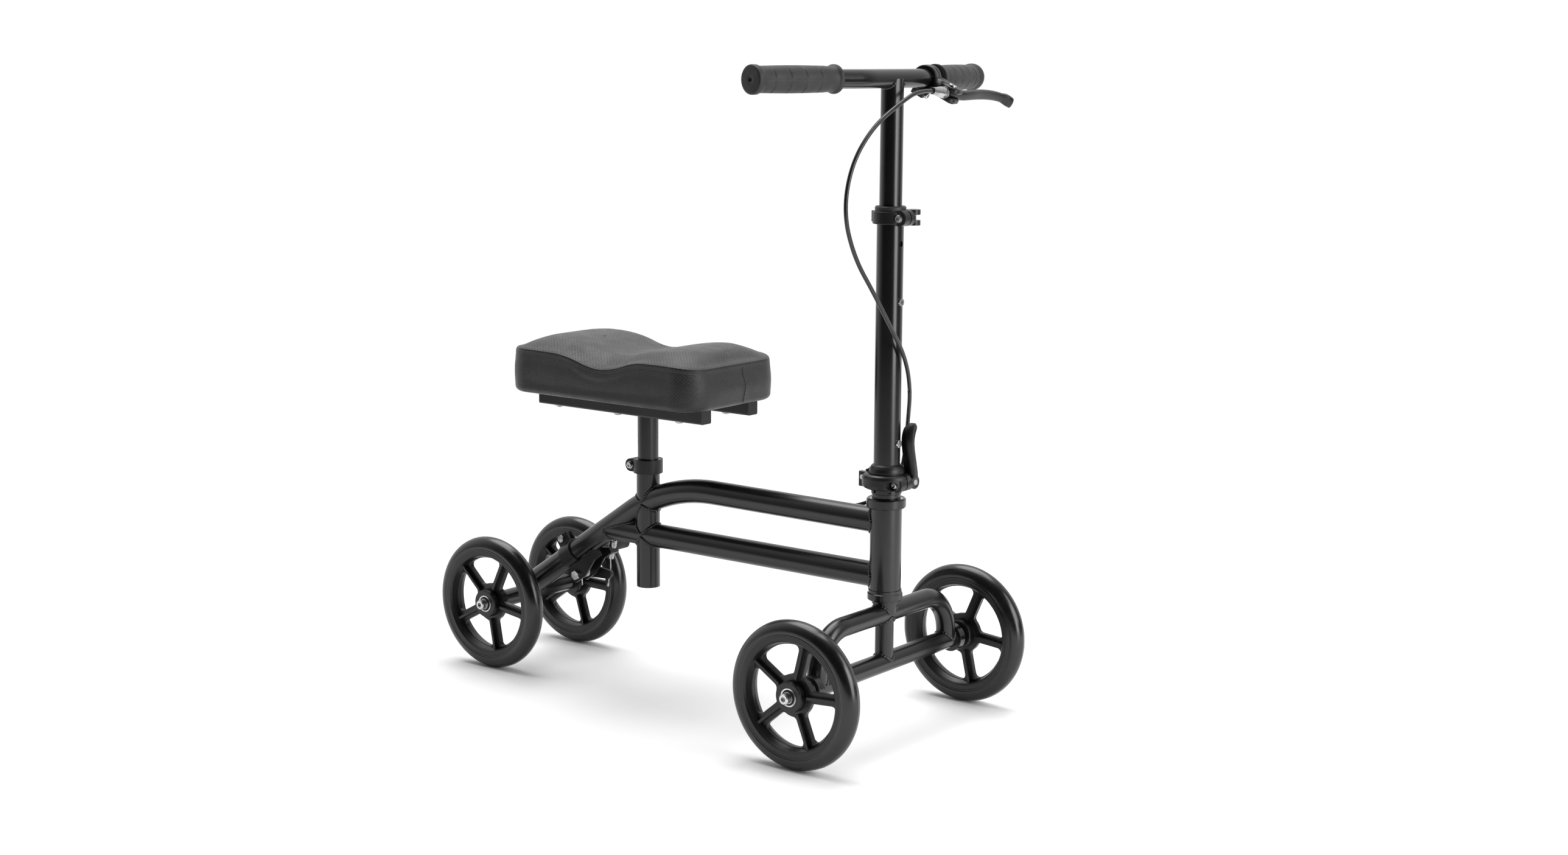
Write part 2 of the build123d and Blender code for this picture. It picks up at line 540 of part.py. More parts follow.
def brake_perch():
    clamp = Rot(90, 0, 0) * Cylinder(15.6, 16)
    clamp += block(-8, 8, -8, 8, -23, -10)
    arm_outline = make_face(Polyline(
        (6, -8), (6, 8), (26, 8.5), (43, 6), (47, 1), (46, -14), (41, -19.5), (27, -19.5), close=True,
    ))
    arm = extrude(Plane.XY * arm_outline, 8.0, both=True)
    arm = fillet(arm.edges().filter_by(Axis.Z), 2.0)
    perch = clamp + arm
    perch -= Rot(90, 0, 0) * Cylinder(BAR_R + 0.02, 30)
    perch -= block(-1, 1, -10, 10, -30, 0)
    perch -= block(27, 50, -15.5, 16, -3.6, 3.6)
    perch -= Pos(*LEVER_PIVOT, 0) * Cylinder(2.5, 30)
    perch -= facing(*ADJUSTER_SPOT, 0, ADJUSTER_DIR) * Pos(0, 0, 5) * Cylinder(7.3, 10)
    perch -= Rot(0, 90, 0) * Pos(18, 0, 0) * Cylinder(2.4, 30)
    screw = rod_x(0, -18, -8, 8, 2.4) + facing(8, 0, -18, (1, 0, 0)) * socket_head(4.2, 4.0, 2.2)
    pivot = Pos(*LEVER_PIVOT, 0) * Cylinder(2.5, 16) + Pos(*LEVER_PIVOT, 8.0) * socket_head(4.8, 2.6, 2.3)
    adjuster = turned([
        (CABLE_R + 0.05, 27), (4.2, 27), (4.8, 20), (6.4, 10), (6.6, 9), (6.6, 3), (6.0, 2.4),
        (7.2, 2.0), (7.2, 0), (0, 0), (0, 14), (CABLE_R + 0.05, 14),
    ])
    adjuster = facing(*ADJUSTER_SPOT, 0, ADJUSTER_DIR) * adjuster
    place = perch_plane.location
    return {
        "brake_perch": place * perch,
        "perch_screws": Compound(children=[place * screw, place * pivot]),
        "cable_adjuster": place * adjuster,
    }


def brake_lever():
    """Hand lever: a tongue on the pivot, then a blade that runs out ahead of the left grip."""
    centre = Spline(
        LEVER_PIVOT, (45, 10), (51, 38), (51, 75), (55, 112), (65, 136),
    )
    blade = extrude(trace(Plane.XY * centre, 6.4), 5.6, both=True)
    blade += Pos(65.6, 137, 0) * Sphere(6.0)
    blade &= block(0, 90, 9.5, 160, -6, 6)
    tongue = extrude(Pos(*LEVER_PIVOT) * Circle(7.5) + trace(Plane.XY * centre, 9.0), 3.3, both=True)
    tongue &= block(0, 90, -15, 30, -6, 6)
    lever = blade + tongue
    lever -= Pos(*LEVER_PIVOT, 0) * Cylinder(2.5 + RUN, 30)
    return perch_plane.location * lever


# ---- knee pad ------------------------------------------------------------------------------------
RAIL_Y, RAIL_SIZE = 47.0, 19.0
RAIL_REAR_X, RAIL_FRONT_X = -228.0, 48.0
RAIL_WALL, PLUG_DEPTH = 1.6, 6.0
BOLT_SPOTS = (-200.0, -98.0, 5.0)


def pad_nodes():
    rail_low = PAD_BOTTOM_Z - RAIL_SIZE
    post = rod_z(SEAT_X, 0, 129, rail_low + 4, SEAT_POST_R) - rod_z(SEAT_X, 0, 128, rail_low, SEAT_POST_R - 2)
    post -= Pos(SEAT_X, 0, 322) * Rot(0, 0, -135) * Rot(0, 90, 0) * Pos(0, 0, 13) * Cylinder(3.2, 12)
    bridge = block(SEAT_X - 34, SEAT_X + 34, -RAIL_Y + 9.5, RAIL_Y - 9.5, rail_low + 4, PAD_BOTTOM_Z)
    bridge -= block(SEAT_X - 31, SEAT_X + 31, -RAIL_Y, RAIL_Y, rail_low + 7, PAD_BOTTOM_Z - 3)
    rails = []
    half, inner = RAIL_SIZE / 2, RAIL_SIZE / 2 - RAIL_WALL
    for side in (-1, 1):
        y = side * RAIL_Y
        rail = block(RAIL_REAR_X, RAIL_FRONT_X, y - half, y + half, rail_low, PAD_BOTTOM_Z)
        rail = fillet(rail.edges().filter_by(Axis.X), 2.0)
        bore = block(RAIL_REAR_X, RAIL_FRONT_X, y - inner, y + inner, rail_low + RAIL_WALL, PAD_BOTTOM_Z - RAIL_WALL)
        rail -= bore
        for x in BOLT_SPOTS:
            rail -= rod_z(x, y, rail_low - 5, PAD_BOTTOM_Z + 5, 3.1)
        middle = block(RAIL_REAR_X + PLUG_DEPTH, RAIL_FRONT_X - PLUG_DEPTH, y - half, y + half, rail_low, PAD_BOTTOM_Z)
        rails += [rail, *(bore - middle).solids()]
    bolts = []
    for side in (-1, 1):
        for x in BOLT_SPOTS:
            dome = Pos(0, 0, rail_low) * (Sphere(6.5) & Pos(0, 0, -3.5) * Box(20, 20, 7))
            dome = Pos(0, 0, 0.45 * rail_low) * scale(Pos(0, 0, -rail_low) * dome, (1, 1, 0.55))
            dome = Pos(0, 0, 0.55 * rail_low) * dome
            shank = rod_z(0, 0, rail_low - 0.5, PAD_BOTTOM_Z + 7, 3.0)
            bolts.append(Pos(x, side * RAIL_Y, 0) * (dome + shank))
    board = block(PAD_REAR_X + 5, PAD_REAR_X + PAD_LENGTH - 5, 5 - PAD_WIDTH / 2, PAD_WIDTH / 2 - 5,
                  PAD_BOTTOM_Z, PAD_BOTTOM_Z + 8)
    board = fillet(board.edges().filter_by(Axis.Z), 30)
    for bolt in bolts:
        board -= bolt
    return {
        "seat_post": post,
        "pad_rails": Compound(children=[*rails, bridge]),
        "rail_bolts": Compound(children=bolts),
        "pad_board": board,
        "knee_pad": make_cushion() - board - [rod_z(x, s * RAIL_Y, 380, 391, 3.1) for s in (-1, 1) for x in BOLT_SPOTS],
    }


def make_cushion():
    """Saddle-shaped cushion: a high rear lobe, a dip, and a lower front lobe."""
    rear, front = PAD_REAR_X, PAD_REAR_X + PAD_LENGTH
    low = PAD_BOTTOM_Z
    edge = low + 50
    top = Spline(
        (rear, edge), (rear + 24, low + 63), (rear + 90, low + 65), (rear + 140, low + 57),
        (rear + 177, low + 49), (rear + 215, low + 57), (rear + 262, low + 63), (rear + 295, low + 61),
        (front, edge),
    )
    outline = top + Polyline((front, edge), (front, low), (rear, low), (rear, edge))
    body = slab(Plane.XZ, make_face(outline), -PAD_WIDTH / 2, PAD_WIDTH / 2)
    return fillet(body.edges().filter_by(Axis.Z), 34)


# ---- rear brake ----------------------------------------------------------------------------------
BRAKE_X = -221.0          # where the brake's band clamps the sloping part of the top tube
BRAKE_Z = BEND_CORNER[1] - (BEND_CORNER[0] - BRAKE_X) * tan(REAR_SLOPE)
# The brake's own frame: first axis up along the tube, second axis up and back across it.
brake_plane = Plane(
    origin=(BRAKE_X, 0, BRAKE_Z), x_dir=(cos(REAR_SLOPE), 0, sin(REAR_SLOPE)), z_dir=(0, -1, 0)
)
ARM_PIVOT = (0.0, -30.0)
SHOE_SPOT = (6.4, -4.0)
WIRE_SPOT = (22.0, -46.0)
STOP_SPOT = (46.0, -23.0)
STOP_Y = 20.0


def brake_spot(point):
    return brake_plane.from_local_coords(Vector(point[0], point[1], 0))


def frame_brake_nodes():
    tube = slab(brake_plane, Circle(FRAME_TUBE_R), -40, 40)
    axis = Vector(cos(REAR_SLOPE), 0, sin(REAR_SLOPE))
    band_at = facing(BRAKE_X, 0, BRAKE_Z, axis)
    band = band_at * (Cylinder(FRAME_TUBE_R + 2.2, 22) - Cylinder(FRAME_TUBE_R, 30))
    cheek = make_face(Polyline(
        (-11, -16.5), (11, -16.5), (40, -12), (54, -19), (54, -27), (40, -27), (12, -38), (-9, -38), (-13, -28),
        close=True,
    ))
    clear = band_at * Cylinder(FRAME_TUBE_R, 200)
    bracket = band
    for y0, y1 in ((-12.0, -9.0), (9.0, 12.0)):
        bracket += slab(brake_plane, cheek, y0, y1)
        bracket += slab(brake_plane, Pos(0, 22) * Rectangle(22, 15), y0 * 0.45 - 1.5, y0 * 0.45 + 1.5)
    bracket += slab(brake_plane, Pos(46, -23) * Rectangle(14, 9), 9.0, STOP_Y + 5.5)
    bracket -= clear
    bracket -= slab(brake_plane, Pos(*ARM_PIVOT) * Circle(3.0), -20, 20)
    bracket -= slab(brake_plane, Pos(0, 24) * Circle(2.6), -20, 20)
    stop_dir = (brake_spot(WIRE_SPOT) - brake_spot(STOP_SPOT)).normalized()
    stop_at = brake_spot(STOP_SPOT) + Vector(0, STOP_Y, 0)
    bracket -= facing(*stop_at, stop_dir) * (Cylinder(4.2, 40) + Pos(0, 0, -20) * Cylinder(5.4, 29))
    pivot = slab(brake_plane, Pos(*ARM_PIVOT) * Circle(3.0), -13, 23.4)
    pivot_head = facing(*(brake_spot(ARM_PIVOT) + Vector(0, -12.05, 0)), (0, -1, 0)) * hex_head(6.5, 5.0)
    pivot_nut = slab(brake_plane, Pos(*ARM_PIVOT) * RegularPolygon(6.2, 6), 23.3, 28.0)
    clamp_bolt = slab(brake_plane, Pos(0, 24) * Circle(2.5), -11.5, 11.5)
    clamp_bolt += slab(brake_plane, Pos(0, 24) * RegularPolygon(5.0, 6), -11.5, -7.0)
    clamp_bolt += slab(brake_plane, Pos(0, 24) * RegularPolygon(5.0, 6), 7.0, 11.5)
    stop = turned([
        (CABLE_R + 0.05, -16), (4.6, -16), (5.2, -14), (5.2, -6), (4.1, -5.5), (4.1, 10),
        (0.9, 10), (0.9, -3), (CABLE_R + 0.05, -3),
    ])
    return {
        "brake_bracket": bracket,
        "brake_bolts": Compound(children=[pivot + pivot_head + pivot_nut, clamp_bolt]),
        "cable_stop": facing(*stop_at, stop_dir) * stop,
    }


def hex_head(r, height):
    return extrude(RegularPolygon(r, 6), height)


def brake_arm_nodes():
    arm_y0, arm_y1 = 17.8, 21.3
    arm = hull_plate(brake_plane, [(*SHOE_SPOT, 7.0), (*ARM_PIVOT, 8.5), (*WIRE_SPOT, 6.5)], arm_y0, arm_y1)
    arm -= slab(brake_plane, Pos(*ARM_PIVOT) * Circle(3.0 + RUN), 10, 30)
    peg_at = brake_spot(SHOE_SPOT)
    peg = rod_y(peg_at.X, peg_at.Z, arm_y1, 99.0, 5.0)
    shoe = rod_y(peg_at.X, peg_at.Z, 71.0, 97.0, 8.1) - rod_y(peg_at.X, peg_at.Z, 70, 98, 5.0)
    anchor = slab(brake_plane, Pos(*WIRE_SPOT) * RegularPolygon(5.2, 6), arm_y1, arm_y1 + 4.5)
    spring_bore = slab(brake_plane, Pos(*ARM_PIVOT) * Circle(3.6), -9, 9)
    spring = slab(brake_plane, Pos(*ARM_PIVOT) * Circle(6.0), -8.5, 8.5) - spring_bore
    return {
        "brake_arm": Compound(children=[arm + peg, anchor]),
        "brake_shoe": shoe,
        "brake_return_spring": spring,
    }


def brake_cable():
    """Outer cable from the lever's adjuster, in a loop ahead of the column, to the rear stop."""
    start = perch_plane.from_local_coords(Vector(*ADJUSTER_SPOT, 0) + Vector(*ADJUSTER_DIR) * 14.2)
    leave = perch_plane.from_local_coords(Vector(*ADJUSTER_SPOT, 0) + Vector(*ADJUSTER_DIR) * 52)
    stop_dir = (brake_spot(WIRE_SPOT) - brake_spot(STOP_SPOT)).normalized()
    stop_at = brake_spot(STOP_SPOT) + Vector(0, STOP_Y, 0)
    last, end = stop_at - stop_dir * 24, stop_at - stop_dir * 3.2
    route = [
        start, leave, (322, -34, 764), (321, -86, 738), (318, -122, 697), (317, -134, 644), (317, -112, 592),
        (317, -72, 548), (316, -36, 506), (312, 2, 466), (304, 26, 424), (295, 35, 384), (290, 38, 345),
        (284, 37, 315), (268, 32, 292), (240, 24, 275), (196, 21.5, 264), (130, 21, 261), (64, 20.5, 262),
        (2, 20.5, 258), (-52, 20.5, 248), (-92, 21.5, 227), (-124, 22, 203), last, end,
    ]
    points = [tuple(Vector(*p)) for p in route]
    radii = arc_radii(points)
    path = FilletPolyline(*points, radius=radii)
    cable = pipe(path, CABLE_R)
    print("cable radii", [round(r, 1) for r in radii])
    print("cable length", round(path.length, 1), "volume / (section x length)",
          round(cable.volume / (pi * CABLE_R ** 2 * path.length), 4))
    return cable


# ---- the whole scooter ---------------------------------------------------------------------------
def all_nodes():
    nodes = {}
    nodes.update(frame_tubes())
    nodes.update(headset())
    nodes.update(seat_clamp())
    nodes.update(fork_tubes())
    nodes.update(fold_collar())
    nodes.update(column_nodes())
    nodes.update(stem_nodes())
    nodes["brake_lever"] = brake_lever()
    nodes["seat_clamp_lever"] = upright_lever(SEAT_X - CLAMP_BOLT_OFFSET, CAM_Y, 288, -52, 0)
    nodes["fold_lever"] = upright_lever(
        FRONT_X + CLAMP_BOLT_OFFSET, FOLD_CAM_Y, (COLLAR_LOW_Z + COLLAR_HIGH_Z) / 2 - 2.5, 72, 1
    )
    nodes["height_lever"] = wrapping_lever(FRONT_X + CLAMP_BOLT_OFFSET, COLUMN_TOP_Z - 7.5, FRONT_X)
    nodes.update(pad_nodes())
    nodes.update(frame_brake_nodes())
    nodes.update(brake_arm_nodes())
    nodes["brake_cable"] = brake_cable()
    nodes["front_axle_bolts"] = axle_bolts(FRONT_X, FRONT_TRACK / 2, 66)
    nodes["rear_axle_bolts"] = axle_bolts(REAR_X, REAR_TRACK / 2, 48)
    nodes.update(wheel_nodes("front_right", FRONT_X, -FRONT_TRACK / 2, 14))
    nodes.update(wheel_nodes("front_left", FRONT_X, FRONT_TRACK / 2, 23))
    nodes.update(wheel_nodes("rear_right", REAR_X, -REAR_TRACK / 2, 25.5))
    nodes.update(wheel_nodes("rear_left", REAR_X, REAR_TRACK / 2, 19))
    return nodes


os.makedirs("parts", exist_ok=True)
for node_name, shape in all_nodes().items():
    export_step(shape, f"parts/{node_name}.step")
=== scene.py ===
import json
import math
from itertools import groupby
import bmesh
import bpy
import numpy as np
from mathutils import Matrix, Vector
from mathutils.bvhtree import BVHTree
from mathutils.geometry import convex_hull_2d


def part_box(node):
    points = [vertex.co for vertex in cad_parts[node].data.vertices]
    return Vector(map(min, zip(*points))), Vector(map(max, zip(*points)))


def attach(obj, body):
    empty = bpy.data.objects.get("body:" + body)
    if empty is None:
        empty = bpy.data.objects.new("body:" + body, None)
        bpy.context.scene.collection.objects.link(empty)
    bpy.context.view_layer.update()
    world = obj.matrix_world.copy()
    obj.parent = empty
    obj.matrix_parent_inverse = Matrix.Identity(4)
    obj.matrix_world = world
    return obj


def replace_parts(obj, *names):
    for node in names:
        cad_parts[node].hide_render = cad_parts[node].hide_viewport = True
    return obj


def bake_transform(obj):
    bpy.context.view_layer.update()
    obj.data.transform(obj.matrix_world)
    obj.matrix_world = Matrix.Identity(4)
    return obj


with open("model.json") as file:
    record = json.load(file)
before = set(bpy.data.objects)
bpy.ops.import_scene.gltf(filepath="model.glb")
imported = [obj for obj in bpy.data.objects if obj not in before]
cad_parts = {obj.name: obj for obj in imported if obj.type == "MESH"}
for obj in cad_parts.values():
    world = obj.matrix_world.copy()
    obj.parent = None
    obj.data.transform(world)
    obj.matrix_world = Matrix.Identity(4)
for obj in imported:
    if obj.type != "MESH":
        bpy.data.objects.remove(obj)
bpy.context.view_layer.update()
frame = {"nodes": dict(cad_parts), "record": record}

# Knee scooter, metres, the CAD's own frame: +X forward, +Y left, +Z up.


# ---- objects and camera
def placement(origin, *axes):
    """The matrix that puts X, Y and Z along three axes, at an origin."""
    return Matrix.Translation(origin) @ Matrix(axes).transposed().to_4x4()


def add_object(name, data):
    made = bpy.data.objects.new(name, data)
    bpy.context.scene.collection.objects.link(made)
    return made


# Fitted to the photo's dimensions and the wheels' outlines: degrees (azimuth 0 looks along +Y), metres
# from the target, and mm.
AZIMUTH, ELEVATION, ROLL = 37.1364, 9.705, 0.41
TARGET, TO_RIGHT, TO_TOP, DISTANCE = Vector((0, 0, 0.4)), 0.10633, -0.05159, 2.83549
SENSOR_WIDTH, FOCAL_LENGTH = 36.0, 51.155


def make_camera():
    a, e, r = (math.radians(v) for v in (AZIMUTH, ELEVATION, ROLL))
    back = Vector((math.sin(a) * math.cos(e), -math.cos(a) * math.cos(e), math.sin(e)))
    level = Vector((0, 0, 1)).cross(back).normalized()
    upright = back.cross(level)
    right, up = level * math.cos(r) + upright * math.sin(r), upright * math.cos(r) - level * math.sin(r)
    place = TARGET + TO_RIGHT * right + TO_TOP * up + DISTANCE * back
    data = bpy.data.cameras.new("camera")
    data.sensor_width = SENSOR_WIDTH
    data.lens = FOCAL_LENGTH
    data.clip_end = 200.0
    camera = add_object("camera", data)
    camera.matrix_world = placement(place, right, up, back)
    bpy.context.scene.camera = camera


make_camera()
bpy.context.scene.view_settings.view_transform = "Standard"


# ---- material graphs
class Graph:
    """The nodes of a material, or of the world, wired in code."""

    def __init__(self, name, world=False):
        self.owner = (bpy.data.worlds if world else bpy.data.materials).new(name)
        self.owner.use_nodes = True
        self.nodes, self.links = self.owner.node_tree.nodes, self.owner.node_tree.links
        self.shader = self.nodes["Background" if world else "Principled BSDF"]
        self.coord = self.nodes.new("ShaderNodeTexCoord")

    def wire(self, value, socket):
        if isinstance(value, bpy.types.NodeSocket):
            self.links.new(value, socket)
        else:
            socket.default_value = value

    def put(self, kind, inputs=(), output=0, **settings):
        node = self.nodes.new(kind)
        for key, value in settings.items():
            setattr(node, key, value)
        for key, value in dict(inputs).items():
            self.wire(value, node.inputs[key])
        return node.outputs[output]

    def maths(self, operation, *values):
        return self.put("ShaderNodeMath", dict(enumerate(values)), operation=operation)

    def noise(self, scale, detail=3.0, roughness=0.5, stretch=None):
        place = self.coord.outputs["Object"]
        if stretch:
            place = self.put("ShaderNodeVectorMath", {0: place, 1: stretch}, operation="MULTIPLY")
        sockets = {"Vector": place, "Scale": scale, "Detail": detail, "Roughness": roughness}
        return self.put("ShaderNodeTexNoise", sockets)

    def ramp(self, value, low, high, out_low=0.0, out_high=1.0):
        sockets = {"Value": value, "From Min": low, "From Max": high, "To Min": out_low, "To Max": out_high}
        return self.put("ShaderNodeMapRange", sockets, interpolation_type="SMOOTHSTEP")

    def mix(self, share, a, b):
        node = self.nodes.new("ShaderNodeMix")
        node.data_type = "RGBA"
        self.wire(share, node.inputs[0])
        self.wire((*a, 1) if isinstance(a, tuple) else a, node.inputs[6])
        self.wire((*b, 1) if isinstance(b, tuple) else b, node.inputs[7])
        return node.outputs[2]

    def bump(self, height, distance, normal=None):
        sockets = {"Height": height, "Distance": distance, "Strength": 1.0}
        if normal is not None:
            sockets["Normal"] = normal
        return self.put("ShaderNodeBump", sockets)

    def rounded(self, radius):
        return self.put("ShaderNodeBevel", {"Radius": radius}, samples=4)

    def edge_mask(self, rounded):
        """1 where a rounded normal leaves the flat one by over 30 degrees, along edges; 0 under 13."""
        flat = self.put("ShaderNodeNewGeometry", output=1)
        match = self.put("ShaderNodeVectorMath", {0: rounded, 1: flat}, output=1, operation="DOT_PRODUCT")
        return self.ramp(match, 0.975, 0.86)

    def close(self, colour, roughness, normal=None, **fixed):
        self.wire(colour, self.shader.inputs["Base Color"])
        self.wire(roughness, self.shader.inputs["Roughness"])
        if normal is not None:
            self.wire(normal, self.shader.inputs["Normal"])
        for key, value in fixed.items():
            self.shader.inputs[key.replace("_", " ")].default_value = value
        return self.owner


def grey(level, blue=None):
    """A neutral tone, or one with a little more blue."""
    return level, level, blue or level


def coated(name, dark, light, rough, peel, peel_height, edge, wear, bevel=0.0006, **fixed):
    """Painted or moulded surface: cloudy tone, fine peel or grain, softened and slightly rubbed edges."""
    g = Graph(name)
    cloud = g.noise(6.0, 2.0)
    speck = g.noise(peel, 2.0)
    rounded = g.rounded(bevel)
    patchy = g.ramp(g.noise(170.0, 5.0, 0.7), 0.45, 0.72, 0.0, wear)
    rubbed = g.maths("MULTIPLY", g.edge_mask(rounded), patchy)
    tone = g.mix(g.ramp(cloud, 0.3, 0.7), dark, light)
    tone = g.mix(g.ramp(speck, 0.5, 0.8, 0.0, 0.1), tone, light)
    tone = g.mix(rubbed, tone, edge)
    gloss = g.ramp(g.noise(14.0), 0.25, 0.75, *rough)
    relief = g.bump(speck, peel_height, g.bump(g.noise(60.0, 1.0), 0.00001, rounded))
    return g.close(tone, gloss, relief, **fixed)


def polished(name, tint, shade, rough):
    """Bright metal with a fine grain and darker smudges."""
    g = Graph(name)
    rounded = g.rounded(0.0004)
    grain = g.noise(900.0, 3.0, 0.6)
    smudge = g.noise(70.0, 4.0, 0.6)
    tone = g.mix(g.ramp(smudge, 0.42, 0.7), tint, shade)
    gloss = g.ramp(grain, 0.3, 0.7, *rough)
    return g.close(tone, gloss, g.bump(grain, 0.000004, rounded), Metallic=1.0)


def lattice(g, u, v, period, inner, outer):
    """Dots in a 45-degree staggered lattice over two coordinates: 1 in a dot, 0 between."""
    scale = 1.0 / (period * math.sqrt(2))
    parts = []
    for operation in ("ADD", "SUBTRACT"):
        along = g.maths("MULTIPLY", g.maths(operation, u, v), scale)
        centred = g.maths("SUBTRACT", g.maths("FRACT", along), 0.5)
        parts.append(g.maths("POWER", g.maths("ABSOLUTE", centred), 2.0))
    away = g.maths("SQRT", g.maths("ADD", *parts))
    return g.ramp(away, outer, inner)


def perforations(g, place):
    """Holes over the plan of the top panel."""
    return lattice(g, place[0], place[1], 0.0036, 0.2, 0.3)


def embossed_dots(g, place):
    """Fine dots up the side band, laid out by whichever of X and Y the surface faces less."""
    facing = g.put("ShaderNodeSeparateXYZ", {0: g.coord.outputs["Normal"]}).node.outputs
    ends = g.maths("GREATER_THAN", g.maths("ABSOLUTE", facing[0]), g.maths("ABSOLUTE", facing[1]))
    dots_long, dots_end = (lattice(g, place[axis], place[2], 0.0031, 0.13, 0.26) for axis in (0, 1))
    keep = g.maths("MULTIPLY", dots_long, g.maths("SUBTRACT", 1.0, ends))
    return g.maths("ADD", keep, g.maths("MULTIPLY", dots_end, ends))


def leatherette(name, make_dots, base, worn, dot_painted_light, dot_painted_light_share, dot_height):
    """Grained black leatherette with a pattern of dots, the dots in a painted tone that stands in for light
    or shade.
    """
    g = Graph(name)
    dots = make_dots(g, g.put("ShaderNodeSeparateXYZ", {0: g.coord.outputs["Object"]}).node.outputs)
    sockets = {"Vector": g.coord.outputs["Object"], "Scale": 1100.0}
    creases = g.ramp(g.put("ShaderNodeTexVoronoi", sockets, feature="DISTANCE_TO_EDGE"), 0.0, 0.18)
    tone = g.mix(g.ramp(g.noise(16.0, 5.0, 0.6), 0.3, 0.72), base, worn)
    # Painted light: the dots take a darker or lighter colour in place of real shade or highlights.
    tone = g.mix(g.maths("MULTIPLY", dots, dot_painted_light_share), tone, dot_painted_light)
    gloss = g.ramp(g.noise(42.0, 4.0, 0.6), 0.25, 0.75, 0.36, 0.5)
    relief = g.bump(dots, dot_height, g.bump(creases, 0.00005))
    return g.close(tone, gloss, relief, Specular_IOR_Level=0.45, Sheen_Weight=0.03, Sheen_Roughness=0.4)


def thread_material():
    g = Graph("stitch_thread")
    twist = g.noise(2600.0, 2.0)
    tone = g.mix(g.ramp(twist, 0.3, 0.7), grey(0.03, 0.031), grey(0.115, 0.118))
    return g.close(tone, g.ramp(g.noise(300.0), 0.3, 0.7, 0.55, 0.75), g.bump(twist, 0.0001))


def rubber(name, dark, light, rough, grain, height, **fixed):
    g = Graph(name)
    fine = g.noise(grain, 3.0, 0.6)
    dust = g.noise(38.0, 6.0, 0.7)
    rounded = g.rounded(0.0005)
    tone = g.mix(g.ramp(dust, 0.35, 0.75), dark, light)
    gloss = g.ramp(g.noise(90.0, 4.0, 0.6), 0.25, 0.75, *rough)
    return g.close(tone, gloss, g.bump(fine, height, rounded), **fixed)


def wood_board():
    g = Graph("dark_plywood")
    fibres = g.noise(120.0, 6.0, 0.65, (0.08, 1.0, 1.0))
    tone = g.mix(g.ramp(fibres, 0.35, 0.68), (0.012, 0.011, 0.01), (0.045, 0.037, 0.03))
    return g.close(tone, g.ramp(fibres, 0.3, 0.7, 0.55, 0.8), g.bump(fibres, 0.0002, g.rounded(0.0005)))


def stranded_wire():
    """Steel wire with the diagonal ripples of its strands."""
    g = Graph("brake_wire")
    sockets = {"Vector": g.coord.outputs["Object"], "Scale": 420.0, "Distortion": 1.5, "Detail": 1.0}
    ripple = g.put("ShaderNodeTexWave", sockets, output=1, bands_direction="DIAGONAL")
    tone = g.mix(g.ramp(ripple, 0.2, 0.8), grey(0.3, 0.31), grey(0.7, 0.71))
    return g.close(tone, g.ramp(g.noise(500.0), 0.3, 0.7, 0.25, 0.42), g.bump(ripple, 0.00015), Metallic=1.0)


SLOT_MATERIALS = {
    "frame_paint": coated(
        "satin_black_paint", grey(0.0042, 0.0044), grey(0.0056, 0.0058), (0.22, 0.27), 1300.0, 0.000008,
        grey(0.04, 0.042), 0.5, Specular_IOR_Level=0.5),
    "cast_black": coated(
        "cast_black", grey(0.005, 0.0052), grey(0.008, 0.0083), (0.33, 0.43), 900.0, 0.00003,
        grey(0.06, 0.062), 0.55, 0.0008, Specular_IOR_Level=0.36),
    "rim_plastic": coated(
        "rim_nylon", grey(0.0058, 0.006), grey(0.009, 0.0093), (0.31, 0.41), 1500.0, 0.00004,
        grey(0.03), 0.4, 0.0009, Specular_IOR_Level=0.4),
    "black_plastic": coated(
        "black_plastic", grey(0.012), grey(0.02), (0.42, 0.55), 1200.0, 0.00005,
        grey(0.04), 0.4, Specular_IOR_Level=0.45),
    "cable_sheath": coated(
        "cable_sheath", grey(0.008, 0.0085), grey(0.013, 0.0135), (0.26, 0.36), 1800.0, 0.00002,
        grey(0.02), 0.2, 0.0003, Specular_IOR_Level=0.5),
    "silver_hardware": polished("zinc_steel", grey(0.58, 0.59), grey(0.34, 0.35), (0.2, 0.34)),
    "silver_adjuster": polished("satin_aluminium", grey(0.46, 0.47), grey(0.26, 0.27), (0.22, 0.34)),
    "tyre_rubber": rubber(
        "tyre_polyurethane", grey(0.0042, 0.0044), grey(0.0072, 0.0075), (0.2, 0.28), 1400.0, 0.00001,
        Specular_IOR_Level=0.5),
    "grip_rubber": rubber(
        "grip_rubber", grey(0.012, 0.0125), grey(0.022, 0.0225), (0.5, 0.64), 1600.0, 0.0001,
        Specular_IOR_Level=0.4, Sheen_Weight=0.04),
    "brake_rubber": rubber(
        "brake_rubber", grey(0.014), grey(0.03), (0.65, 0.8), 1500.0, 0.00012, Specular_IOR_Level=0.35),
    # The side band's raised dots are painted lighter: painted glints on their tops.
    "pad_leatherette": leatherette(
        "pad_band_leatherette", embossed_dots, grey(0.0078, 0.008), grey(0.012, 0.0123),
        grey(0.05, 0.051), 0.55, 0.00022),
    "board": wood_board(),
}
# The top's perforations are painted near black: painted shade inside the holes.
TOP_LEATHER = leatherette(
    "pad_top_leatherette", perforations, grey(0.015, 0.0154), grey(0.0215, 0.022),
    grey(0.0012), 0.95, -0.00035)
THREAD = thread_material()
WIRE = stranded_wire()

for part in frame["record"]["subparts"]:
    cad_mesh = frame["nodes"][part["node"]].data
    cad_mesh.materials.clear()
    cad_mesh.materials.append(SLOT_MATERIALS[part["material_slot"]])


